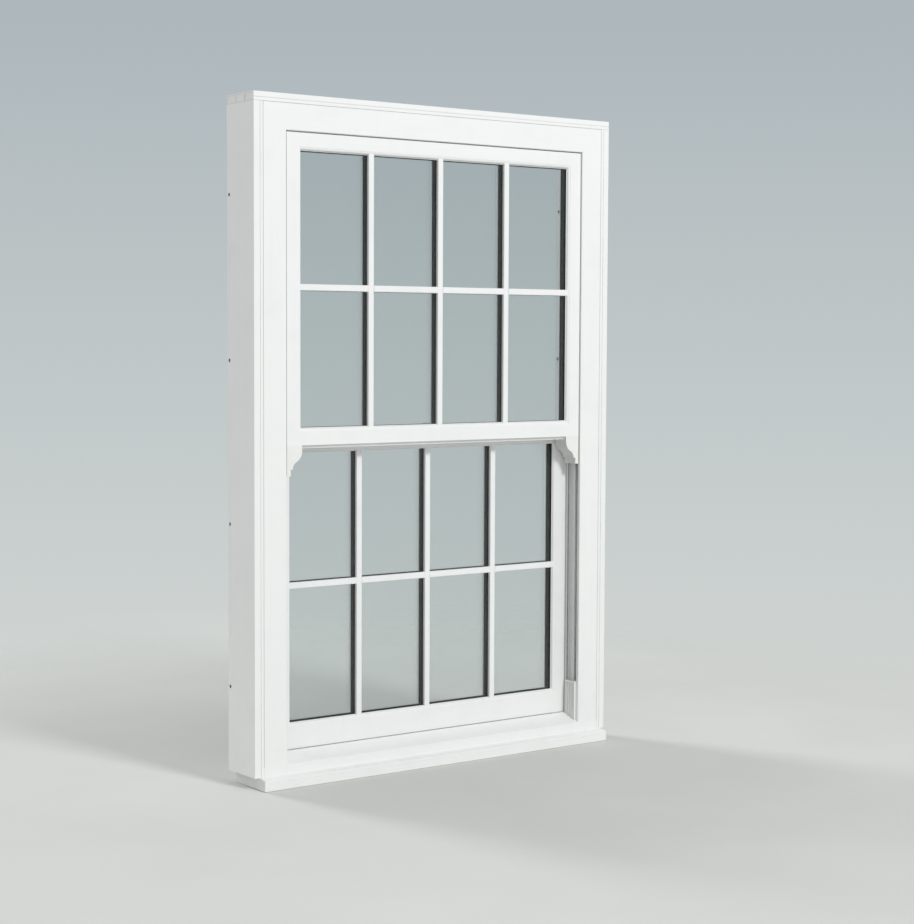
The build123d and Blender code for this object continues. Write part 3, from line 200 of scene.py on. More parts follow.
def extruded_pvc(name, along, axis, joint):
    """Satin white PVC-U with die lines along one axis, and dirt with painted shade in a joint across
    another.
    """
    made, tree, shader = material(name, {"IOR": 1.54})
    place = add(tree, "ShaderNodeTexCoord").outputs["Object"]
    drift = add(tree, "ShaderNodeTexNoise", Vector=place, Scale=1 / DRIFT_SIZE,
                Detail=4.0, Roughness=0.55)
    colour = add(tree, "ShaderNodeValToRGB", {
        "stops": ((0.28, "#f0f2f1"), (0.5, "#f3f5f4"), (0.75, "#f5f6f5")),
    }, Fac=drift)
    # Die lines: noise that is narrow across the profile and very long down it.
    sizes = [LINE_SPACING] * 3
    sizes[along] = LINE_LENGTH
    pulled = add(tree, "ShaderNodeMapping", Vector=place, Scale=per_metre(*sizes))
    lines = add(tree, "ShaderNodeTexNoise", Vector=pulled, Scale=1.0, Detail=2.0)
    line = add(tree, "ShaderNodeMapRange", Value=lines, From_Min=0.42, From_Max=0.66,
               To_Min=0.0, To_Max=0.07)
    # Film: rain runs down the face, whichever way the profile lies.
    runs = per_metre(RUN_WIDTH, RUN_WIDTH, RUN_LENGTH)
    running = add(tree, "ShaderNodeMapping", Vector=place, Scale=runs)
    film = patches(tree, running, 1.0, (0.58, 0.82), (0.0, 0.1), 5.0, 0.6)
    # Specks: a dot in the middle of each cell, kept only inside a few patches.
    cells = add(tree, "ShaderNodeTexVoronoi", {"feature": "F1"}, Vector=place, Scale=1 / SPECK_SPACING)
    dot = add(tree, "ShaderNodeMapRange", Value=cells, From_Min=0.03, From_Max=0.06,
              To_Min=0.22, To_Max=0.0)
    rare = patches(tree, place, SPECK_PATCH, (0.55, 0.66), (0.0, 1.0))
    speck = add(tree, "ShaderNodeMath", {"operation": "MULTIPLY"}, i0=dot, i1=rare)
    # Joint line: partly dirt, partly painted shade for the shadow in the joint.
    dirt_and_shade = joint_dirt_and_shade(tree, place, axis, joint)
    for share, code in ((line, "#d3d6d4"), (film, "#c9cac2"), (speck, "#a9a89c"), (dirt_and_shade, "#84857d")):
        colour = add(tree, "ShaderNodeMix", {"data_type": "RGBA"}, i0=share, i6=colour, i7=linear(code))
    grain = add(tree, "ShaderNodeTexNoise", Vector=place, Scale=1 / SKIN_GRAIN, Detail=2.0)
    height = add(tree, "ShaderNodeMath", {"operation": "MULTIPLY_ADD"}, i0=grain, i1=0.35, i2=lines)
    skin = add(tree, "ShaderNodeBump", Height=height, Distance=SKIN_DEPTH, Strength=0.5)
    gloss = patches(tree, place, GLOSS_PATCH, (0.3, 0.75), (0.28, 0.42))
    wire(tree, shader, Base_Color=colour, Roughness=gloss, Normal=skin)
    return made


white_upright = extruded_pvc("white_pvcu_extruded_upright", UPRIGHT, LEVEL, side_joint)
white_level = extruded_pvc("white_pvcu_extruded_level", LEVEL, UPRIGHT, top_joint)
print(white_upright.name, white_level.name, len(white_level.node_tree.nodes), "nodes each")

# %% [markdown]
# ## White injection-moulded plastic
# Horns, stop blocks, end caps and latch cases are moulded, not extruded: the tool is lightly sparked, so
# the skin is duller and has a fine even grain with no direction. They could share the profile's recipe,
# but its lines would give them away as cut from a bar. This one has no lines, a shade more warmth, and
# grain that is drawn 0.7 mm wide, about three times the real one, so that it shows.

# %% Moulded white
TONE_PATCH, SOFT_PATCH = 70 * MM, 17 * MM
GRIME_LENGTH = 125 * MM
SPARK_GRAIN, SPARK_DEPTH = 0.7 * MM, 0.03 * MM


def moulded_white():
    """Warm white ABS with the even grain of a sparked mould."""
    made, tree, shader = material("white_abs_moulded", {"IOR": 1.53})
    place = add(tree, "ShaderNodeTexCoord").outputs["Object"]
    drift = add(tree, "ShaderNodeTexNoise", Vector=place, Scale=1 / TONE_PATCH, Detail=4.0)
    tone = add(tree, "ShaderNodeValToRGB", {
        "stops": ((0.3, "#eceeea"), (0.55, "#f0f1ee"), (0.8, "#f3f3f0")),
    }, Fac=drift)
    runs = per_metre(SOFT_PATCH, SOFT_PATCH, GRIME_LENGTH)
    hanging = add(tree, "ShaderNodeMapping", Vector=place, Scale=runs)
    grime = patches(tree, hanging, 1.0, (0.6, 0.85), (0.0, 0.1), 4.0)
    colour = add(tree, "ShaderNodeMix", {"data_type": "RGBA"}, i0=grime, i6=tone, i7=linear("#c4c4b9"))
    gloss = patches(tree, place, SOFT_PATCH, (0.3, 0.7), (0.4, 0.52))
    grain = add(tree, "ShaderNodeTexNoise", Vector=place, Scale=1 / SPARK_GRAIN, Detail=2.0)
    skin = add(tree, "ShaderNodeBump", Height=grain, Distance=SPARK_DEPTH, Strength=0.6)
    wire(tree, shader, Base_Color=colour, Roughness=gloss, Normal=skin)
    return made


white_moulded = moulded_white()
print(white_moulded.name, len(white_moulded.node_tree.nodes), "nodes")

# %% [markdown]
# ## Float glass
# Glass is drawn from a bath of molten tin, so it is flat and polished, and a little green from its iron.
# A sealed unit has two sheets, each with two faces, so light passes four surfaces and comes out slightly
# grey green. A see-through shader with a weak mirror would be faster, but it would miss the bending of
# light at a sheet's edge. Here the shader does both; rain marks and dust are a weak change of roughness.

# %% Glass
MARK_WIDTH, MARK_LENGTH = 33 * MM, 170 * MM
WAVE_SIZE, WAVE_DEPTH = 450 * MM, 0.4 * MM


def float_glass():
    """Clear float glass with faint rain marks and a very slight wave."""
    made, tree, shader = material("float_glass_polished", {
        "IOR": 1.52, "Transmission Weight": 1.0, "Base Color": linear("#f1f4f4"),
    })
    place = add(tree, "ShaderNodeTexCoord").outputs["Object"]
    runs = per_metre(MARK_WIDTH, MARK_WIDTH, MARK_LENGTH)
    running = add(tree, "ShaderNodeMapping", Vector=place, Scale=runs)
    marks = patches(tree, running, 1.0, (0.5, 0.85), (0.0, 0.035), 5.0, 0.65)
    swell = add(tree, "ShaderNodeTexNoise", Vector=place, Scale=1 / WAVE_SIZE, Detail=1.0)
    wave = add(tree, "ShaderNodeBump", Height=swell, Distance=WAVE_DEPTH, Strength=0.12)
    wire(tree, shader, Roughness=marks, Normal=wave)
    return made


glass = float_glass()
print(glass.name, "IOR", round(glass.node_tree.nodes["Principled BSDF"].inputs["IOR"].default_value, 2))

# %% [markdown]
# ## Spacers, gaskets, nylon
# The bar between the sheets of glass is a warm-edge spacer, near black and matt. Gaskets are soft black
# rubber pushed out of a die, with a dull bloom on them. Shoes, blocks and bushes are dark nylon. Three
# flat blacks would look alike, so one recipe gives each its own tone, gloss and grain. The true grain is
# a few tenths of a millimetre; it is drawn 1 to 1.5 mm wide, so that it shows.

# %% Dark plastics
BLOOM_PATCH, SHINE_PATCH = 22 * MM, 8 * MM


def dark_plastic(name, dark, light, roughness, grain_size, depth):
    """Matt dark plastic with blotches of bloom and a grain of its own size."""
    made, tree, shader = material(name, {"IOR": 1.5})
    place = add(tree, "ShaderNodeTexCoord").outputs["Object"]
    bloom = add(tree, "ShaderNodeTexNoise", Vector=place, Scale=1 / BLOOM_PATCH, Detail=4.0, Roughness=0.6)
    tone = add(tree, "ShaderNodeValToRGB", {"stops": ((0.3, dark), (0.75, light))}, Fac=bloom)
    rough = patches(tree, place, SHINE_PATCH, (0.3, 0.7), (roughness - 0.06, roughness + 0.08))
    grain = add(tree, "ShaderNodeTexNoise", Vector=place, Scale=1 / grain_size, Detail=2.0)
    skin = add(tree, "ShaderNodeBump", Height=grain, Distance=depth, Strength=0.7)
    wire(tree, shader, Base_Color=tone, Roughness=rough, Normal=skin)
    return made


spacer_black = dark_plastic("warm_edge_spacer_foam", "#12110d", "#1f1d17", 0.72, 1.2 * MM, 0.05 * MM)
rubber = dark_plastic("black_rubber_extruded", "#171816", "#2a2b28", 0.58, 1.0 * MM, 0.04 * MM)
nylon = dark_plastic("black_nylon_moulded", "#2c2e2e", "#3d4040", 0.46, 1.5 * MM, 0.04 * MM)
print("dark plastics", spacer_black.name, rubber.name, nylon.name)

# %% [markdown]
# ## Powder-coated zinc
# Keeper, fastener and finger lifts are cast in zinc and sprayed with a white powder, which melts in the
# oven and flows into a faint orange peel. Plain white paint would be flatter. The peel is a low bump with
# a clear coat over it, and the white is rubbed thin in small patches, where fingers touch.

# %% Powder coat
POWDER_PATCH, RUB_PATCH, POLISH_PATCH = 33 * MM, 12 * MM, 20 * MM
PEEL_SIZE, PEEL_DEPTH = 1.4 * MM, 0.04 * MM


def powder_coat():
    """White powder coat on zinc: orange peel, and a little wear."""
    made, tree, shader = material("white_powder_coated_zinc", {
        "IOR": 1.5, "Coat Weight": 0.25, "Coat Roughness": 0.12,
    })
    place = add(tree, "ShaderNodeTexCoord").outputs["Object"]
    drift = add(tree, "ShaderNodeTexNoise", Vector=place, Scale=1 / POWDER_PATCH, Detail=4.0)
    tone = add(tree, "ShaderNodeValToRGB", {"stops": ((0.3, "#e8e9e6"), (0.7, "#f2f2f0"))}, Fac=drift)
    rubbed = patches(tree, place, RUB_PATCH, (0.66, 0.8), (0.0, 0.3), 5.0, 0.7)
    colour = add(tree, "ShaderNodeMix", {"data_type": "RGBA"}, i0=rubbed, i6=tone, i7=linear("#d3d2cc"))
    gloss = patches(tree, place, POLISH_PATCH, (0.3, 0.7), (0.24, 0.36))
    peel = add(tree, "ShaderNodeTexNoise", Vector=place, Scale=1 / PEEL_SIZE, Detail=2.0)
    skin = add(tree, "ShaderNodeBump", Height=peel, Distance=PEEL_DEPTH, Strength=0.5)
    wire(tree, shader, Base_Color=colour, Roughness=gloss, Normal=skin)
    return made


powder = powder_coat()
print(powder.name)

# %% [markdown]
# ## Bare metals
# The balance tubes are mill aluminium, pulled through a ring that leaves draw lines along them. Steels,
# rods and screws are zinc plated: grey with a spangle, the crystals that zinc makes as it sets, big on
# hot-dipped steel and tiny on plated screws. One plain grey would read as paint. A metal's colour is
# the colour of its reflection, so the tones stay close and the pattern is mostly in the roughness. Draw
# lines and the crystals of thin plating are finer than a picture shows, so they are drawn about 1 mm
# wide.

# %% Aluminium and zinc
DRAW_WIDTH, DRAW_LENGTH = 1.1 * MM, 250 * MM
SHADE_WIDTH, SHADE_LENGTH = 25 * MM, 200 * MM
DULL_PATCH, PIT_SIZE = 4 * MM, 0.7 * MM
METAL_DEPTH = 0.02 * MM


def drawn_aluminium():
    """Mill aluminium tube with draw lines along Z."""
    made, tree, shader = material("mill_aluminium_drawn", {"Metallic": 1.0})
    place = add(tree, "ShaderNodeTexCoord").outputs["Object"]
    narrow = per_metre(DRAW_WIDTH, DRAW_WIDTH, DRAW_LENGTH)
    broad = per_metre(SHADE_WIDTH, SHADE_WIDTH, SHADE_LENGTH)
    pulled = add(tree, "ShaderNodeMapping", Vector=place, Scale=narrow)
    lines = add(tree, "ShaderNodeTexNoise", Vector=pulled, Scale=1.0, Detail=2.0)
    slow = add(tree, "ShaderNodeMapping", Vector=place, Scale=broad)
    shade = add(tree, "ShaderNodeTexNoise", Vector=slow, Scale=1.0, Detail=4.0)
    tone = add(tree, "ShaderNodeValToRGB", {"stops": ((0.3, "#b9bbbd"), (0.7, "#cfd1d3"))}, Fac=shade)
    rough = add(tree, "ShaderNodeMapRange", Value=lines, From_Min=0.3, From_Max=0.7,
                To_Min=0.3, To_Max=0.46)
    skin = add(tree, "ShaderNodeBump", Height=lines, Distance=METAL_DEPTH, Strength=0.5)
    wire(tree, shader, Base_Color=tone, Roughness=rough, Normal=skin)
    return made


def zinc_plate(name, crystal, dark, light, roughness):
    """Zinc on steel, with crystals of a real size in two greys."""
    made, tree, shader = material(name, {"Metallic": 1.0})
    place = add(tree, "ShaderNodeTexCoord").outputs["Object"]
    cells = add(tree, "ShaderNodeTexVoronoi", {"feature": "F1"}, Vector=place, Scale=1 / crystal)
    tone = add(tree, "ShaderNodeValToRGB", {"stops": ((0.2, dark), (0.8, light))},
               Fac=cells.outputs["Color"])
    rough = patches(tree, place, DULL_PATCH, (0.3, 0.7), roughness)
    pits = add(tree, "ShaderNodeTexNoise", Vector=place, Scale=1 / PIT_SIZE, Detail=2.0)
    skin = add(tree, "ShaderNodeBump", Height=pits, Distance=METAL_DEPTH, Strength=0.5)
    wire(tree, shader, Base_Color=tone, Roughness=rough, Normal=skin)
    return made


aluminium = drawn_aluminium()
galvanised = zinc_plate("hot_dip_galvanised_steel", 7 * MM, "#8f9496", "#b4b8ba", (0.38, 0.52))
plated = zinc_plate("bright_zinc_plated_steel", 0.9 * MM, "#aeb0ad", "#c9cbc9", (0.24, 0.36))
print("metals", aluminium.name, galvanised.name, plated.name)

# %% [markdown]
# ## Brush pile
# The seals are pile weatherstrip: thousands of short polypropylene hairs stitched to a tape. Noise could
# mottle them, but each hair is one colour from foot to tip. So each has its own shade, read from an
# attribute that the node tree writes, and the pile doesn't look like one block of plastic.

# %% Pile material
def pile_fibre():
    """Grey polypropylene hair; every spike has its own shade."""
    made, tree, shader = material("polypropylene_pile_woven", {
        "Roughness": 0.75, "IOR": 1.49, "Sheen Weight": 0.3, "Sheen Roughness": 0.5,
    })
    shade = add(tree, "ShaderNodeAttribute", {"attribute_name": "shade"}).outputs["Fac"]
    tone = add(tree, "ShaderNodeValToRGB", {
        "stops": ((0.0, "#989d9e"), (0.5, "#babebe"), (1.0, "#d6d8d7")),
    }, Fac=shade)
    wire(tree, shader, Base_Color=tone)
    return made


pile = pile_fibre()
print(pile.name)

# %% [markdown]
# ## Dress the CAD pieces
# Every solid keeps its exact shape and gets the skin of what it is made of. Rails, head and sill run
# level, jambs and stiles upright, so that the die lines follow the way each profile was pushed. The
# brushes, rods and screws get nothing here, because pieces further down take their place.

# %% Skins by node
dressed = []


def dress(skin, *names):
    """Gives CAD nodes their material."""
    for name in names:
        mesh = nodes[name].data
        mesh.materials.clear()
        mesh.materials.append(skin)
        dressed.append(name)


dress(white_upright, "jamb_left", "jamb_right", "extension_left", "extension_right",
      "upper_stile_left", "upper_stile_right", "lower_stile_left", "lower_stile_right",
      "upper_glazing_bars", "lower_glazing_bars", "upper_beads", "lower_beads")
dress(white_level, "head", "extension_head", "frame_bottom", "sill", "upper_top_rail", "upper_meeting_rail",
      "lower_top_rail", "lower_bottom_rail", "upper_interlock", "lower_interlock")
dress(white_moulded, "sill_end_caps", "stop_blocks", "track_stops", "horns", "upper_latch_cases",
      "lower_latch_cases", "upper_latch_bolt_left", "upper_latch_bolt_right", "lower_latch_bolt_left",
      "lower_latch_bolt_right")
dress(glass, "upper_panes", "lower_panes")
dress(spacer_black, "upper_spacer", "lower_spacer")
dress(rubber, "upper_gaskets", "lower_gaskets")
dress(nylon, "upper_setting_blocks", "lower_setting_blocks", "upper_balance_shoes", "lower_balance_shoes",
      "lower_end_blocks")
dress(powder, "keeper", "fastener_base", "fastener_lever", "sash_lifts")
dress(aluminium, "balance_tubes")
dress(galvanised, "frame_steels", "upper_steels", "lower_steels", "upper_pivot_bars", "lower_pivot_bars")
print("dressed", len(dressed), "of", len(nodes), "nodes")

# %% [markdown]
# ## Meshes and objects
# A made piece is a mesh in an object at the origin, as every solid is. Three small functions do what
# every piece needs: put an object into the scene, end a mesh with its faces outwards, and add a box. A
# fourth reads where the separate solids of a node lie, so that no place is typed in by hand.

# %% Mesh helpers
MERGE = 1e-6
BOX_FACES = ((0, 1, 3, 2), (4, 6, 7, 5), (0, 4, 5, 1), (2, 3, 7, 6), (0, 2, 6, 4), (1, 5, 7, 3))


def in_scene(name, data):
    """A new object in the scene, at the origin."""
    made = bpy.data.objects.new(name, data)
    bpy.context.scene.collection.objects.link(made)
    return made


def outward(work, name, skin=None):
    """Ends a bmesh as a mesh whose faces point outwards."""
    bmesh.ops.recalc_face_normals(work, faces=work.faces)
    mesh = bpy.data.meshes.new(name)
    work.to_mesh(mesh)
    work.free()
    if skin:
        mesh.materials.append(skin)
    return mesh


def add_box(work, low, high):
    """Adds the closed box between two corners."""
    xs, ys, zs = zip(low, high)
    corners = [work.verts.new((x, y, z)) for x in xs for y in ys for z in zs]
    for face in BOX_FACES:
        work.faces.new([corners[i] for i in face])


def solids_in(name):
    """Boxes (lowest corner, highest corner) of the separate solids in a CAD node."""
    work = bmesh.new()
    work.from_mesh(nodes[name].data)
    bmesh.ops.remove_doubles(work, verts=work.verts, dist=MERGE)
    left, found = set(work.verts), []
    while left:
        stack, group = [left.pop()], []
        while stack:
            vertex = stack.pop()
            group.append(vertex.co.copy())
            for edge in vertex.link_edges:
                other = edge.other_vert(vertex)
                if other in left:
                    left.discard(other)
                    stack.append(other)
        low = Vector([min(c[i] for c in group) for i in range(3)])
        high = Vector([max(c[i] for c in group) for i in range(3)])
        found.append((low, high))
    work.free()
    return sorted(found, key=lambda pair: tuple(round(v, 4) for v in pair[0]))


frame_strips, bottom_strips = solids_in("frame_brush_seals"), solids_in("lower_bottom_brush")
print("brush strips in the frame", len(frame_strips), "under the bottom rail", len(bottom_strips))

# %% [markdown]
# ## Node trees for what repeats
# Thousands of bristles could be placed by a loop, one object each, but no scene stays quick with that.
# Geometry Nodes build a thing once and place it many times by rule. A small class keeps what every tree
# needs in one place: it opens a tree with named inputs, and at the end turns the result into a plain
# mesh, because the part keeps no live modifier.

# %% Node tree helper
class Recipe:
    """One Geometry Nodes tree with named inputs."""

    def __init__(self, name, inputs):
        self.tree = bpy.data.node_groups.new(name, "GeometryNodeTree")
        face = self.tree.interface
        face.new_socket("Geometry", in_out="INPUT", socket_type="NodeSocketGeometry")
        for title, kind in inputs:
            face.new_socket(title, in_out="INPUT", socket_type=f"NodeSocket{kind}")
        face.new_socket("Geometry", in_out="OUTPUT", socket_type="NodeSocketGeometry")
        self.start = self.tree.nodes.new("NodeGroupInput").outputs

    def finish(self, geometry, skin):
        """Realises the instances, sets the material, and joins the output."""
        real = add(self.tree, "GeometryNodeRealizeInstances", Geometry=geometry)
        painted = add(self.tree, "GeometryNodeSetMaterial", Geometry=real, Material=skin)
        add(self.tree, "NodeGroupOutput", Geometry=painted)
        return self

    def make(self, name, mesh, values):
        """Runs the tree on a mesh with these input values and returns a plain mesh object."""
        host = in_scene(f"{name}_host", mesh)
        modifier = host.modifiers.new("tree", "NODES")
        modifier.node_group = self.tree
        for item in self.tree.interface.items_tree:
            if item.in_out == "INPUT" and item.name in values:
                modifier[item.identifier] = values[item.name]
        view = bpy.context.evaluated_depsgraph_get()
        plain = bpy.data.meshes.new_from_object(host.evaluated_get(view), depsgraph=view)
        host.modifiers.clear()
        bpy.data.objects.remove(host)
        plain.name = name
        made = in_scene(name, plain)
        print(name, "faces", len(plain.polygons), "size mm", [round(v / MM, 1) for v in made.dimensions])
        return made


def seed_mesh(name, places, edges=(), **attributes):
    """The points and edges that a tree starts from, with extra vectors or numbers on each point."""
    mesh = bpy.data.meshes.new(name)
    mesh.from_pydata([tuple(p) for p in places], list(edges), [])
    for title, values in attributes.items():
        vector = isinstance(values[0], Vector)
        layer = mesh.attributes.new(title, "FLOAT_VECTOR" if vector else "FLOAT", "POINT")
        for item, value in zip(layer.data, values):
            setattr(item, "vector" if vector else "value", value)
    return mesh


helpers = []


def lent(name, mesh):
    """An object that only lends its mesh to a tree; it is removed at the end."""
    helper = bpy.data.objects.new(name, mesh)
    helpers.append(helper)
    return helper


print("trees so far", len(bpy.data.node_groups), "lent shapes", len(helpers))

# %% [markdown]
# ## Brush seals
# A seal is a tape with a backing and rows of hairs. The real hairs are hundredths of a millimetre thick
# and stand by the thousand, so a slender three-sided spike stands for each small bunch of them. Hair
# curves could do it too, but they aren't a closed mesh. The tree walks along each row, sets a spike every
# 0.8 mm, stands it along the row's own direction, and leans and turns it a little, which breaks the rows
# up into a fuzzy edge.

# %% Spike and brush tree
TUFT_SIDES = (0, 120, 240)


def tuft_mesh():
    """A tuft one unit tall: a slender closed spike with three sides."""
    mesh = bpy.data.meshes.new("tuft")
    ring = [(0.5 * math.cos(math.radians(a)), 0.5 * math.sin(math.radians(a)), 0.0) for a in TUFT_SIDES]
    mesh.from_pydata(ring + [(0.0, 0.0, 1.0)], [], [(0, 1, 3), (1, 2, 3), (2, 0, 3), (2, 1, 0)])
    return mesh


def brush_tree():
    """Tufts along the edges of a mesh, as tall as the vector called rise on its points."""
    recipe = Recipe("brush_pile", [
        ("Spacing", "Float"), ("Tuft Width", "Float"), ("Lean", "Float"),
        ("Tuft", "Object"), ("Seed", "Int"),
    ])
    tree, inp = recipe.tree, recipe.start
    line = add(tree, "GeometryNodeMeshToCurve", Mesh=inp["Geometry"])
    dots = add(tree, "GeometryNodeResampleCurve", {"mode": "LENGTH"}, Curve=line, Length=inp["Spacing"])
    cloud = add(tree, "GeometryNodeCurveToPoints", {"mode": "EVALUATED"}, Curve=dots)
    rise = add(tree, "GeometryNodeInputNamedAttribute", {"data_type": "FLOAT_VECTOR"}, Name="rise")
    height = add(tree, "ShaderNodeVectorMath", {"operation": "LENGTH"}, i0=rise)
    upright = add(tree, "FunctionNodeAlignRotationToVector", {"axis": "Z"}, Vector=rise)
    back = add(tree, "ShaderNodeMath", {"operation": "MULTIPLY"}, i0=inp["Lean"], i1=-1.0)
    least = add(tree, "ShaderNodeCombineXYZ", X=back, Y=back, Z=back)
    most = add(tree, "ShaderNodeCombineXYZ", X=inp["Lean"], Y=inp["Lean"], Z=inp["Lean"])
    lean = add(tree, "FunctionNodeRandomValue", {"data_type": "FLOAT_VECTOR"},
               i0=least, i1=most, Seed=inp["Seed"])
    tilt = add(tree, "FunctionNodeEulerToRotation", Euler=lean)
    leaning = add(tree, "FunctionNodeRotateRotation", {"rotation_space": "LOCAL"},
                  Rotation=upright, Rotate_By=tilt)
    size = add(tree, "ShaderNodeCombineXYZ", X=inp["Tuft Width"], Y=inp["Tuft Width"], Z=height)
    shape = add(tree, "GeometryNodeObjectInfo", {"transform_space": "ORIGINAL"}, Object=inp["Tuft"])
    rows = add(tree, "GeometryNodeInstanceOnPoints", Points=cloud, Instance=shape.outputs["Geometry"],
               Rotation=leaning, Scale=size)
    shade = add(tree, "FunctionNodeRandomValue", {"data_type": "FLOAT"}, Seed=inp["Seed"])
    marked = add(tree, "GeometryNodeStoreNamedAttribute", {"data_type": "FLOAT", "domain": "INSTANCE"},
                 Geometry=rows, Name="shade", Value=shade)
    return recipe.finish(marked, pile)


tuft = lent("tuft_helper", tuft_mesh())
brush_recipe = brush_tree()
print("brush tree nodes", len(brush_recipe.tree.nodes), "faces in a tuft", len(tuft.data.polygons))

# %% [markdown]
# ## One brush
# The rows start from the CAD strips themselves. Each strip's box gives the line that the tufts stand on,
# the way they point, and their height: from the tape to just short of the box, so that a leaning tip
# stays inside. The backing tape is a thin box under them. It could be left out, because the groove
# hides it, but then the tufts would stand on nothing.

# %% Brush pieces
BASE = 1.4 * MM
ROWS = (-0.85 * MM, 0.0, 0.85 * MM)
ROW_END = 1.5 * MM
PILE_REACH = 0.97
BRUSH = {"Spacing": 0.82 * MM, "Tuft Width": 1.05 * MM, "Lean": 0.13, "Tuft": tuft, "Seed": 7}


def brush_piece(name, node, body, strips):
    """Brush in place of a node; strips give (box, long axis, pile axis, pile sense)."""
    starts, ends, rises, tape = [], [], [], bmesh.new()
    for (low, high), run, way, sense in strips:
        across = LEVEL + DEEP + UPRIGHT - run - way
        foot, tip = (low[way], high[way]) if sense > 0 else (high[way], low[way])
        base_low, base_high = low.copy(), high.copy()
        base_low[way], base_high[way] = sorted((foot, foot + sense * BASE))
        add_box(tape, base_low, base_high)
        rise = Vector((0, 0, 0))
        rise[way] = sense * (abs(tip - foot) - BASE) * PILE_REACH
        for offset in ROWS:
            start = Vector((0, 0, 0))
            start[across] = (low[across] + high[across]) / 2 + offset
            start[way] = foot + sense * BASE
            end = start.copy()
            start[run], end[run] = low[run] + ROW_END, high[run] - ROW_END
            starts.append(start)
            ends.append(end)
            rises.append(rise)
    count = len(starts)
    edges = [(i, i + count) for i in range(count)]
    lines = seed_mesh(f"{name}_lines", starts + ends, edges, rise=rises + rises)
    made = brush_recipe.make(name, lines, BRUSH)
    strip = in_scene(f"{name}_tape", outward(tape, f"{name}_tape", pile))
    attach(made, body)
    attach(strip, body)
    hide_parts(node)
    print(name, "rows", count)


print("one spike every mm", round(BRUSH["Spacing"] / MM, 2), "in", len(ROWS), "rows")

# %% [markdown]
# ## Where the brushes lie
# Three strips lie on each jamb and two in the head. The pile points inwards from the lip and from the
# back of the fin, and outwards from the front of the fin, where its strip crosses the middle of the
# depth. The strip under the bottom rail points down at the floor of the frame. The direction could be
# typed in for each strip; reading it from the box keeps it right if a size changes.

# %% Make the brushes
rows = []
for low, high in frame_strips:
    run = UPRIGHT if high.z - low.z > high.x - low.x else LEVEL
    rows.append(((low, high), run, DEEP, -1 if low.y < 0 < high.y else 1))
brush_piece("frame_brush_pile", "frame_brush_seals", "frame", rows)
brush_piece("bottom_brush_pile", "lower_bottom_brush", "lower_sash",
            [(pair, LEVEL, UPRIGHT, -1) for pair in bottom_strips])

# %% [markdown]
# ## End plugs of the head strip
# The strip on top of the head is a hollow extrusion that is sawn to length, so its three chambers stay
# open at both ends. A moulded plug is pushed into each one to keep insects and damp out: a plain plate
# with a rounded rim, a hair smaller than the chamber and just behind the sawn end. Six boxes with a
# bevel on every edge are all it takes. The chambers are found from the thickness of the plastic, the two
# webs and the box of the solid.

# %% Plugs
STRIP_GAUGE = 2.5 * MM
CHAMBERS = 3
PLUG_THICK, PLUG_PLAY, PLUG_DEPTH = 3.0 * MM, 0.12 * MM, 0.5 * MM
PLUG_ROUND, PLUG_STEPS = 0.6 * MM, 3


def end_plugs(name, node):
    """Plates in the open ends of a hollow strip that runs along X."""
    low, high = solids_in(node)[0]
    chamber = (high.y - low.y - (CHAMBERS + 1) * STRIP_GAUGE) / CHAMBERS
    inset = STRIP_GAUGE + PLUG_PLAY
    work = bmesh.new()
    for side in (-1, 1):
        face = (high.x if side > 0 else low.x) - side * PLUG_DEPTH
        xs = sorted((face, face - side * PLUG_THICK))
        for place in range(CHAMBERS):
            front = low.y + place * (chamber + STRIP_GAUGE) + inset
            back = front + chamber - 2 * PLUG_PLAY
            add_box(work, (xs[0], front, low.z + inset), (xs[1], back, high.z - inset))
    bmesh.ops.recalc_face_normals(work, faces=work.faces)
    bmesh.ops.bevel(work, geom=work.edges[:], offset=PLUG_ROUND, segments=PLUG_STEPS, profile=0.5,
                    affect="EDGES")
    made = in_scene(name, outward(work, name, white_moulded))
    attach(made, "frame")
    print(name, "chamber mm", round(chamber / MM, 1), "faces", len(made.data.polygons))


end_plugs("head_strip_plugs", "extension_head")

# %% [markdown]
# ## Spiral balance rods
# Each sash hangs on two spiral balances: a flat steel strip is twisted into a screw, and as the sash
# moves, a bush runs along it and winds a spring in the tube. In the solids the rod is a plain round bar.
# A screw modifier could twist a strip, but its pitch would depend on its steps. A curve with a tilt that
# grows along its length, swept with a flat section, gives the true twist, and the pitch is one input.

# %% Twisted rods
ROD_WIDTH, ROD_THICK, ROD_STEP = 5.8 * MM, 1.6 * MM, 2 * MM
UPPER_PITCH, LOWER_PITCH = 38 * MM, 46 * MM


def rod_tree():
    """A flat strip along each edge of a mesh, twisted once in every pitch."""
    recipe = Recipe("twisted_rod", [
        ("Width", "Float"), ("Thickness", "Float"), ("Pitch", "Float"), ("Step", "Float"),
    ])
    tree, inp = recipe.tree, recipe.start
    line = add(tree, "GeometryNodeMeshToCurve", Mesh=inp["Geometry"])
    fine = add(tree, "GeometryNodeResampleCurve", {"mode": "LENGTH"}, Curve=line, Length=inp["Step"])
    along = add(tree, "GeometryNodeSplineParameter").outputs["Length"]
    turns = add(tree, "ShaderNodeMath", {"operation": "DIVIDE"}, i0=along, i1=inp["Pitch"])
    angle = add(tree, "ShaderNodeMath", {"operation": "MULTIPLY"}, i0=turns, i1=2 * math.pi)
    twisted = add(tree, "GeometryNodeSetCurveTilt", Curve=fine, Tilt=angle)
    section = add(tree, "GeometryNodeCurvePrimitiveQuadrilateral", Width=inp["Width"],
                  Height=inp["Thickness"])
    swept = add(tree, "GeometryNodeCurveToMesh", Curve=twisted, Profile_Curve=section, Fill_Caps=True)
    return recipe.finish(swept, plated)


rod_recipe = rod_tree()


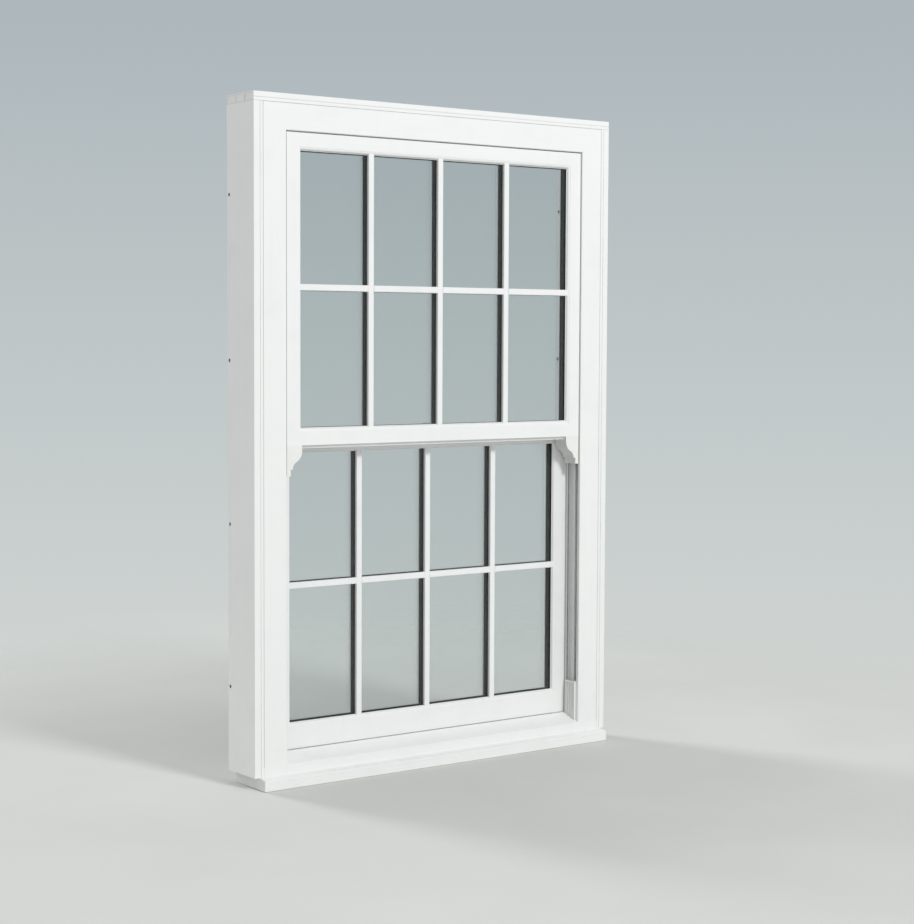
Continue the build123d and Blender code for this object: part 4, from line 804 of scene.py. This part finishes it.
def rods(name, node, body, pitch):
    """Twisted rods in place of the plain bars of a node."""
    ends = []
    for low, high in solids_in(node):
        middle = (low + high) / 2
        ends += [(middle.x, middle.y, low.z), (middle.x, middle.y, high.z)]
    lines = seed_mesh(f"{name}_lines", ends, [(i, i + 1) for i in range(0, len(ends), 2)])
    made = rod_recipe.make(name, lines, {
        "Width": ROD_WIDTH, "Thickness": ROD_THICK, "Pitch": pitch, "Step": ROD_STEP,
    })
    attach(made, body)
    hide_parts(node)


rods("upper_spiral_rods", "upper_balance_rods", "upper_sash", UPPER_PITCH)
rods("lower_spiral_rods", "lower_balance_rods", "lower_carriage", LOWER_PITCH)

# %% [markdown]
# ## One screw
# The small pan-head screws all share one shape, so it is modelled once: a low dome turned from a
# profile, with a cross recess in it. The recess could be a dark mark in the material, but it has to
# catch the light. It is cut by a boolean with one tapered plug in the shape of a cross. A boolean leaves
# faces with many corners and a few of no size, so the result is made of triangles and cleaned. The
# shank is a turned pin one unit long, which is stretched to each screw's length.

# %% Screw head and shank
HEAD_RADIUS, HEAD_HEIGHT, HEAD_SIDES = 3.8 * MM, 2.2 * MM, 32
HEAD_FOOT, RIM_SHARE = 0.96, 0.12
DOME_STEPS, DOME_FLAT = 7, 0.35
SHANK_RADIUS, SHANK_SIDES, SHANK_OVERLAP = 1.95 * MM, 16, 0.04
RECESS_LENGTH, RECESS_WIDTH, RECESS_DEPTH = 4.6 * MM, 0.95 * MM, 1.3 * MM
RECESS_TAPER = 0.55


def turned(name, profile, sides):
    """Shape turned about Z from (radius, height) points that start on the axis."""
    work = bmesh.new()
    chain = [work.verts.new((r, 0, z)) for r, z in profile]
    edges = [work.edges.new(pair) for pair in zip(chain, chain[1:])]
    bmesh.ops.spin(work, geom=chain + edges, axis=(0, 0, 1), cent=(0, 0, 0), angle=2 * math.pi,
                   steps=sides, use_duplicate=False)
    bmesh.ops.remove_doubles(work, verts=work.verts, dist=MERGE)
    return outward(work, name)


def cross_cutter():
    """Closed cross-shaped plug, wide above the head and narrow at the floor of the recess."""
    arm, half = RECESS_LENGTH / 2, RECESS_WIDTH / 2
    outline = []
    for c, s in ((1, 0), (0, 1), (-1, 0), (0, -1)):
        outline += [(x * c - y * s, x * s + y * c) for x, y in ((arm, -half), (arm, half), (half, half))]
    low, high = HEAD_HEIGHT - RECESS_DEPTH, HEAD_HEIGHT + RECESS_DEPTH
    corners = [(x * RECESS_TAPER, y * RECESS_TAPER, low) for x, y in outline]
    corners += [(x, y, high) for x, y in outline]
    count = len(outline)
    faces = [(i, (i + 1) % count, (i + 1) % count + count, i + count) for i in range(count)]
    faces += [tuple(reversed(range(count))), tuple(range(count, 2 * count))]
    mesh = bpy.data.meshes.new("cross_cutter")
    mesh.from_pydata(corners, [], faces)
    return mesh


def screw_head():
    """Dome with its recess, cut by a boolean and kept as a plain mesh."""
    dome = [(0, 0), (HEAD_RADIUS * HEAD_FOOT, 0), (HEAD_RADIUS, HEAD_HEIGHT * RIM_SHARE)]
    for step in range(1, DOME_STEPS + 1):
        angle = math.radians(90 * step / DOME_STEPS)
        radius = HEAD_RADIUS * (DOME_FLAT + (1 - DOME_FLAT) * math.cos(angle))
        dome.append((radius, HEAD_HEIGHT * (RIM_SHARE + (1 - RIM_SHARE) * math.sin(angle))))
    dome.append((0, HEAD_HEIGHT))
    head = in_scene("head_work", turned("head_work", dome, HEAD_SIDES))
    cutter = in_scene("cutter_work", cross_cutter())
    cut = head.modifiers.new("cut", "BOOLEAN")
    cut.object, cut.operation, cut.solver = cutter, "DIFFERENCE", "EXACT"
    view = bpy.context.evaluated_depsgraph_get()
    raw = bpy.data.meshes.new_from_object(head.evaluated_get(view), depsgraph=view)
    for item in (head, cutter):
        bpy.data.objects.remove(item)
    work = bmesh.new()
    work.from_mesh(raw)
    bmesh.ops.triangulate(work, faces=work.faces)
    bmesh.ops.dissolve_degenerate(work, dist=MERGE, edges=work.edges)
    bmesh.ops.remove_doubles(work, verts=work.verts, dist=MERGE)
    return outward(work, "screw_head")


head_helper = lent("head_helper", screw_head())
shank_helper = lent("shank_helper", turned("shank", [
    (0, -1), (SHANK_RADIUS, -1), (SHANK_RADIUS, SHANK_OVERLAP), (0, SHANK_OVERLAP),
], SHANK_SIDES))
print("screw head faces", len(head_helper.data.polygons), "shank", len(shank_helper.data.polygons))

# %% [markdown]
# ## Screws on their points
# The solids say where each screw sits, which way it points and how long it is. The tree puts a head and
# a stretched shank on each of those points, and turns every screw at random about its own axis, because
# nobody lines up the slots of small screws. Copies made by hand would all look the same way.

# %% Screw tree
def screw_tree():
    """A head and a shank on each point, along its vector called way, as long as its reach."""
    recipe = Recipe("screw_set", [("Head", "Object"), ("Shank", "Object"), ("Seed", "Int")])
    tree, inp = recipe.tree, recipe.start
    dots = add(tree, "GeometryNodeMeshToPoints", Mesh=inp["Geometry"])
    way = add(tree, "GeometryNodeInputNamedAttribute", {"data_type": "FLOAT_VECTOR"}, Name="way")
    reach = add(tree, "GeometryNodeInputNamedAttribute", {"data_type": "FLOAT"}, Name="reach")
    upright = add(tree, "FunctionNodeAlignRotationToVector", {"axis": "Z"}, Vector=way)
    turn = add(tree, "FunctionNodeRandomValue", {"data_type": "FLOAT"},
               i2=0.0, i3=math.pi / 2, Seed=inp["Seed"])
    spin = add(tree, "ShaderNodeCombineXYZ", Z=turn)
    about = add(tree, "FunctionNodeEulerToRotation", Euler=spin)
    facing = add(tree, "FunctionNodeRotateRotation", {"rotation_space": "LOCAL"},
                 Rotation=upright, Rotate_By=about)
    stretch = add(tree, "ShaderNodeCombineXYZ", X=1.0, Y=1.0, Z=reach)
    both = add(tree, "GeometryNodeJoinGeometry")
    for title, size in (("Head", (1.0, 1.0, 1.0)), ("Shank", stretch)):
        shape = add(tree, "GeometryNodeObjectInfo", {"transform_space": "ORIGINAL"}, Object=inp[title])
        placed = add(tree, "GeometryNodeInstanceOnPoints", Points=dots, Instance=shape.outputs["Geometry"],
                     Rotation=facing, Scale=size)
        wire(tree, both, Geometry=placed)
    return recipe.finish(both, plated)


screw_recipe = screw_tree()


def screws(name, node, body, seed):
    """Screws in place of a node's; each solid's box gives the seat, the way it points, and its length."""
    places, ways, reaches = [], [], []
    for low, high in solids_in(node):
        size, middle = high - low, (low + high) / 2
        axis = max(range(3), key=lambda i: size[i])
        way = Vector((0, 0, 0))
        way[axis] = -1 if axis == LEVEL and middle.x > 0 else 1
        places.append(middle + way * (size[axis] / 2 - HEAD_HEIGHT))
        ways.append(way)
        reaches.append(size[axis] - HEAD_HEIGHT)
    points = seed_mesh(f"{name}_points", places, way=ways, reach=reaches)
    made = screw_recipe.make(name, points, {"Head": head_helper, "Shank": shank_helper, "Seed": seed})
    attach(made, body)
    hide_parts(node)


screws("frame_screw_set", "frame_screws", "frame", 3)
screws("keeper_screw_set", "keeper_screws", "upper_sash", 5)
screws("lower_sash_screw_set", "lower_sash_screws", "lower_sash", 11)

# %% [markdown]
# ## Floor
# The window stands on a pale matt floor that keeps its shadow. A floor with an edge would show a
# horizon, so it is a wide disc that turns clear with distance, and the backdrop takes over.

# %% Pale floor
FLOOR_LOW, FLOOR_HIGH = "#d3d5d1", "#dadcd8"
FLOOR_RADIUS, FLOOR_SIDES, FLOOR_PATCH = 6.0, 96, 700 * MM
FLOOR_DROP = 0.5 * MM
CLEAR_FROM, CLEAR_TO = 0.9, 3.2


def floor():
    """Round floor whose edge fades to nothing."""
    made = in_scene("studio_floor", turned("studio_floor", [(0, 0), (FLOOR_RADIUS, 0)], FLOOR_SIDES))
    made.location.z = -FLOOR_DROP
    skin, tree, shader = material("matt_studio_floor", {"Roughness": 0.85})
    place = add(tree, "ShaderNodeTexCoord").outputs["Object"]
    drift = add(tree, "ShaderNodeTexNoise", Vector=place, Scale=1 / FLOOR_PATCH, Detail=3.0)
    tone = add(tree, "ShaderNodeValToRGB", {"stops": ((0.3, FLOOR_LOW), (0.7, FLOOR_HIGH))}, Fac=drift)
    wire(tree, shader, Base_Color=tone)
    far = add(tree, "ShaderNodeVectorMath", {"operation": "LENGTH"}, i0=place)
    clear = add(tree, "ShaderNodeMapRange", Value=far, From_Min=CLEAR_FROM, From_Max=CLEAR_TO)
    nothing = add(tree, "ShaderNodeBsdfTransparent")
    blend = add(tree, "ShaderNodeMixShader", i0=clear, i1=shader, i2=nothing)
    wire(tree, tree.nodes["Material Output"], Surface=blend)
    made.data.materials.append(skin)
    print("floor radius m", FLOOR_RADIUS, "clear from", CLEAR_FROM, "to", CLEAR_TO)


floor()

# %% [markdown]
# ## Backdrop and even light
# The backdrop is pale at floor level and turns a cool grey towards the top, as a studio sheet does where
# the light falls off. The camera, reflections and the view through the panes all get this one backdrop,
# because glass and metal are judged by what they show. A sheet of real geometry would light the window
# as well; here the light for the surfaces is set apart from it, white and even from all round.

# %% World
SKY_LEVEL = 0.52
BACKDROP_LOW, BACKDROP_HIGH = "#d6dad7", "#adb7bc"
FADE_FROM, FADE_TO = -0.24, 0.16


def studio_world():
    """White light for the surfaces, and one backdrop for what is seen, mirrored or looked through."""
    world = bpy.data.worlds.new("studio")
    bpy.context.scene.world = world
    world.use_nodes = True
    tree = world.node_tree
    tree.nodes.clear()
    way = add(tree, "ShaderNodeTexCoord").outputs["Generated"]
    height = add(tree, "ShaderNodeSeparateXYZ", Vector=way).outputs["Z"]
    fade = add(tree, "ShaderNodeMapRange", Value=height, From_Min=FADE_FROM, From_Max=FADE_TO)
    sheet = add(tree, "ShaderNodeValToRGB", {"stops": ((0.0, BACKDROP_LOW), (1.0, BACKDROP_HIGH))},
                Fac=fade)
    light = add(tree, "ShaderNodeBackground", Color=linear("#ffffff"), Strength=SKY_LEVEL)
    shown = add(tree, "ShaderNodeBackground", Color=sheet, Strength=1.0)
    path = add(tree, "ShaderNodeLightPath").outputs
    seen = path["Is Camera Ray"]
    for ray in ("Is Glossy Ray", "Is Transmission Ray"):
        seen = add(tree, "ShaderNodeMath", {"operation": "MAXIMUM"}, i0=seen, i1=path[ray])
    both = add(tree, "ShaderNodeMixShader", i0=seen, i1=light, i2=shown)
    add(tree, "ShaderNodeOutputWorld", Surface=both)
    print("world nodes", len(tree.nodes), "light level", SKY_LEVEL)


studio_world()

# %% [markdown]
# ## Lamps
# Even light alone leaves a white thing flat, so two soft boxes model it. The key hangs in front and
# high, a little to the right, and puts the sides of the track and the underside of the rails in shade.
# The second lights the inner face for the views from behind. A small lamp would give hard shadows.
# Both stay out of reflections, and their power is set so that white stays below clipping.

# %% Soft boxes
MIDDLE = (0.0, 0.0, 0.9)
KEY_PLACE, KEY_SIZE, KEY_WATTS = (0.9, -7.6, 5.7), 1.6, 425
BACK_PLACE, BACK_SIZE, BACK_WATTS = (-2.2, 7.0, 3.9), 1.8, 285


def lamp(name, place, size, watts):
    """Square soft box that points at the middle of the window."""
    light = bpy.data.lights.new(name, "AREA")
    light.size, light.energy = size, watts
    made = in_scene(name, light)
    made.location = place
    made.rotation_euler = (Vector(MIDDLE) - Vector(place)).to_track_quat("-Z", "Y").to_euler()
    made.visible_camera = made.visible_glossy = made.visible_transmission = False


lamp("key", KEY_PLACE, KEY_SIZE, KEY_WATTS)
lamp("back", BACK_PLACE, BACK_SIZE, BACK_WATTS)

# %% [markdown]
# ## Camera
# The camera stands where the photograph was taken: 4.24 m in front of the window's outer face, well to
# the left, and turned 36 degrees to the right. The focal length was measured in the photograph's own
# pixels, and the longer side of the frame is as wide as the sensor, which gives a lens of about 76 mm.
# Aiming at a target would fix two angles only, so the direction is built from all three, as a forward, a
# right and an up vector.

# %% Camera
FOCAL_PIXELS, FRAME_PIXELS, SENSOR = 1960, 924, 36
YAW, PITCH, ROLL = math.radians(36.1), math.radians(-3.65), math.radians(0.25)
EYE = Vector((-3.0585, -4.3185, 1.152))


def camera():
    """The photograph's camera."""
    forward = Vector((math.sin(YAW) * math.cos(PITCH), math.cos(YAW) * math.cos(PITCH), math.sin(PITCH)))
    right = Vector((math.cos(YAW), -math.sin(YAW), 0.0))
    up = right.cross(forward)
    level_right = math.cos(ROLL) * right + math.sin(ROLL) * up
    level_up = math.cos(ROLL) * up - math.sin(ROLL) * right
    data = bpy.data.cameras.new("viewpoint")
    data.lens, data.sensor_width = FOCAL_PIXELS / FRAME_PIXELS * SENSOR, SENSOR
    made = in_scene("viewpoint", data)
    turn = Matrix((level_right, level_up, -forward)).transposed().to_4x4()
    made.matrix_world = Matrix.Translation(EYE) @ turn
    bpy.context.scene.camera = made
    print("lens mm", round(data.lens, 1), "eye", [round(v, 3) for v in EYE])


camera()
bpy.context.scene.view_settings.view_transform = "Standard"

# %% [markdown]
# ## Finish
# The lent shapes have done their work and go.

# %% Finish
for helper in helpers:
    bpy.data.objects.remove(helper)
bpy.context.view_layer.update()
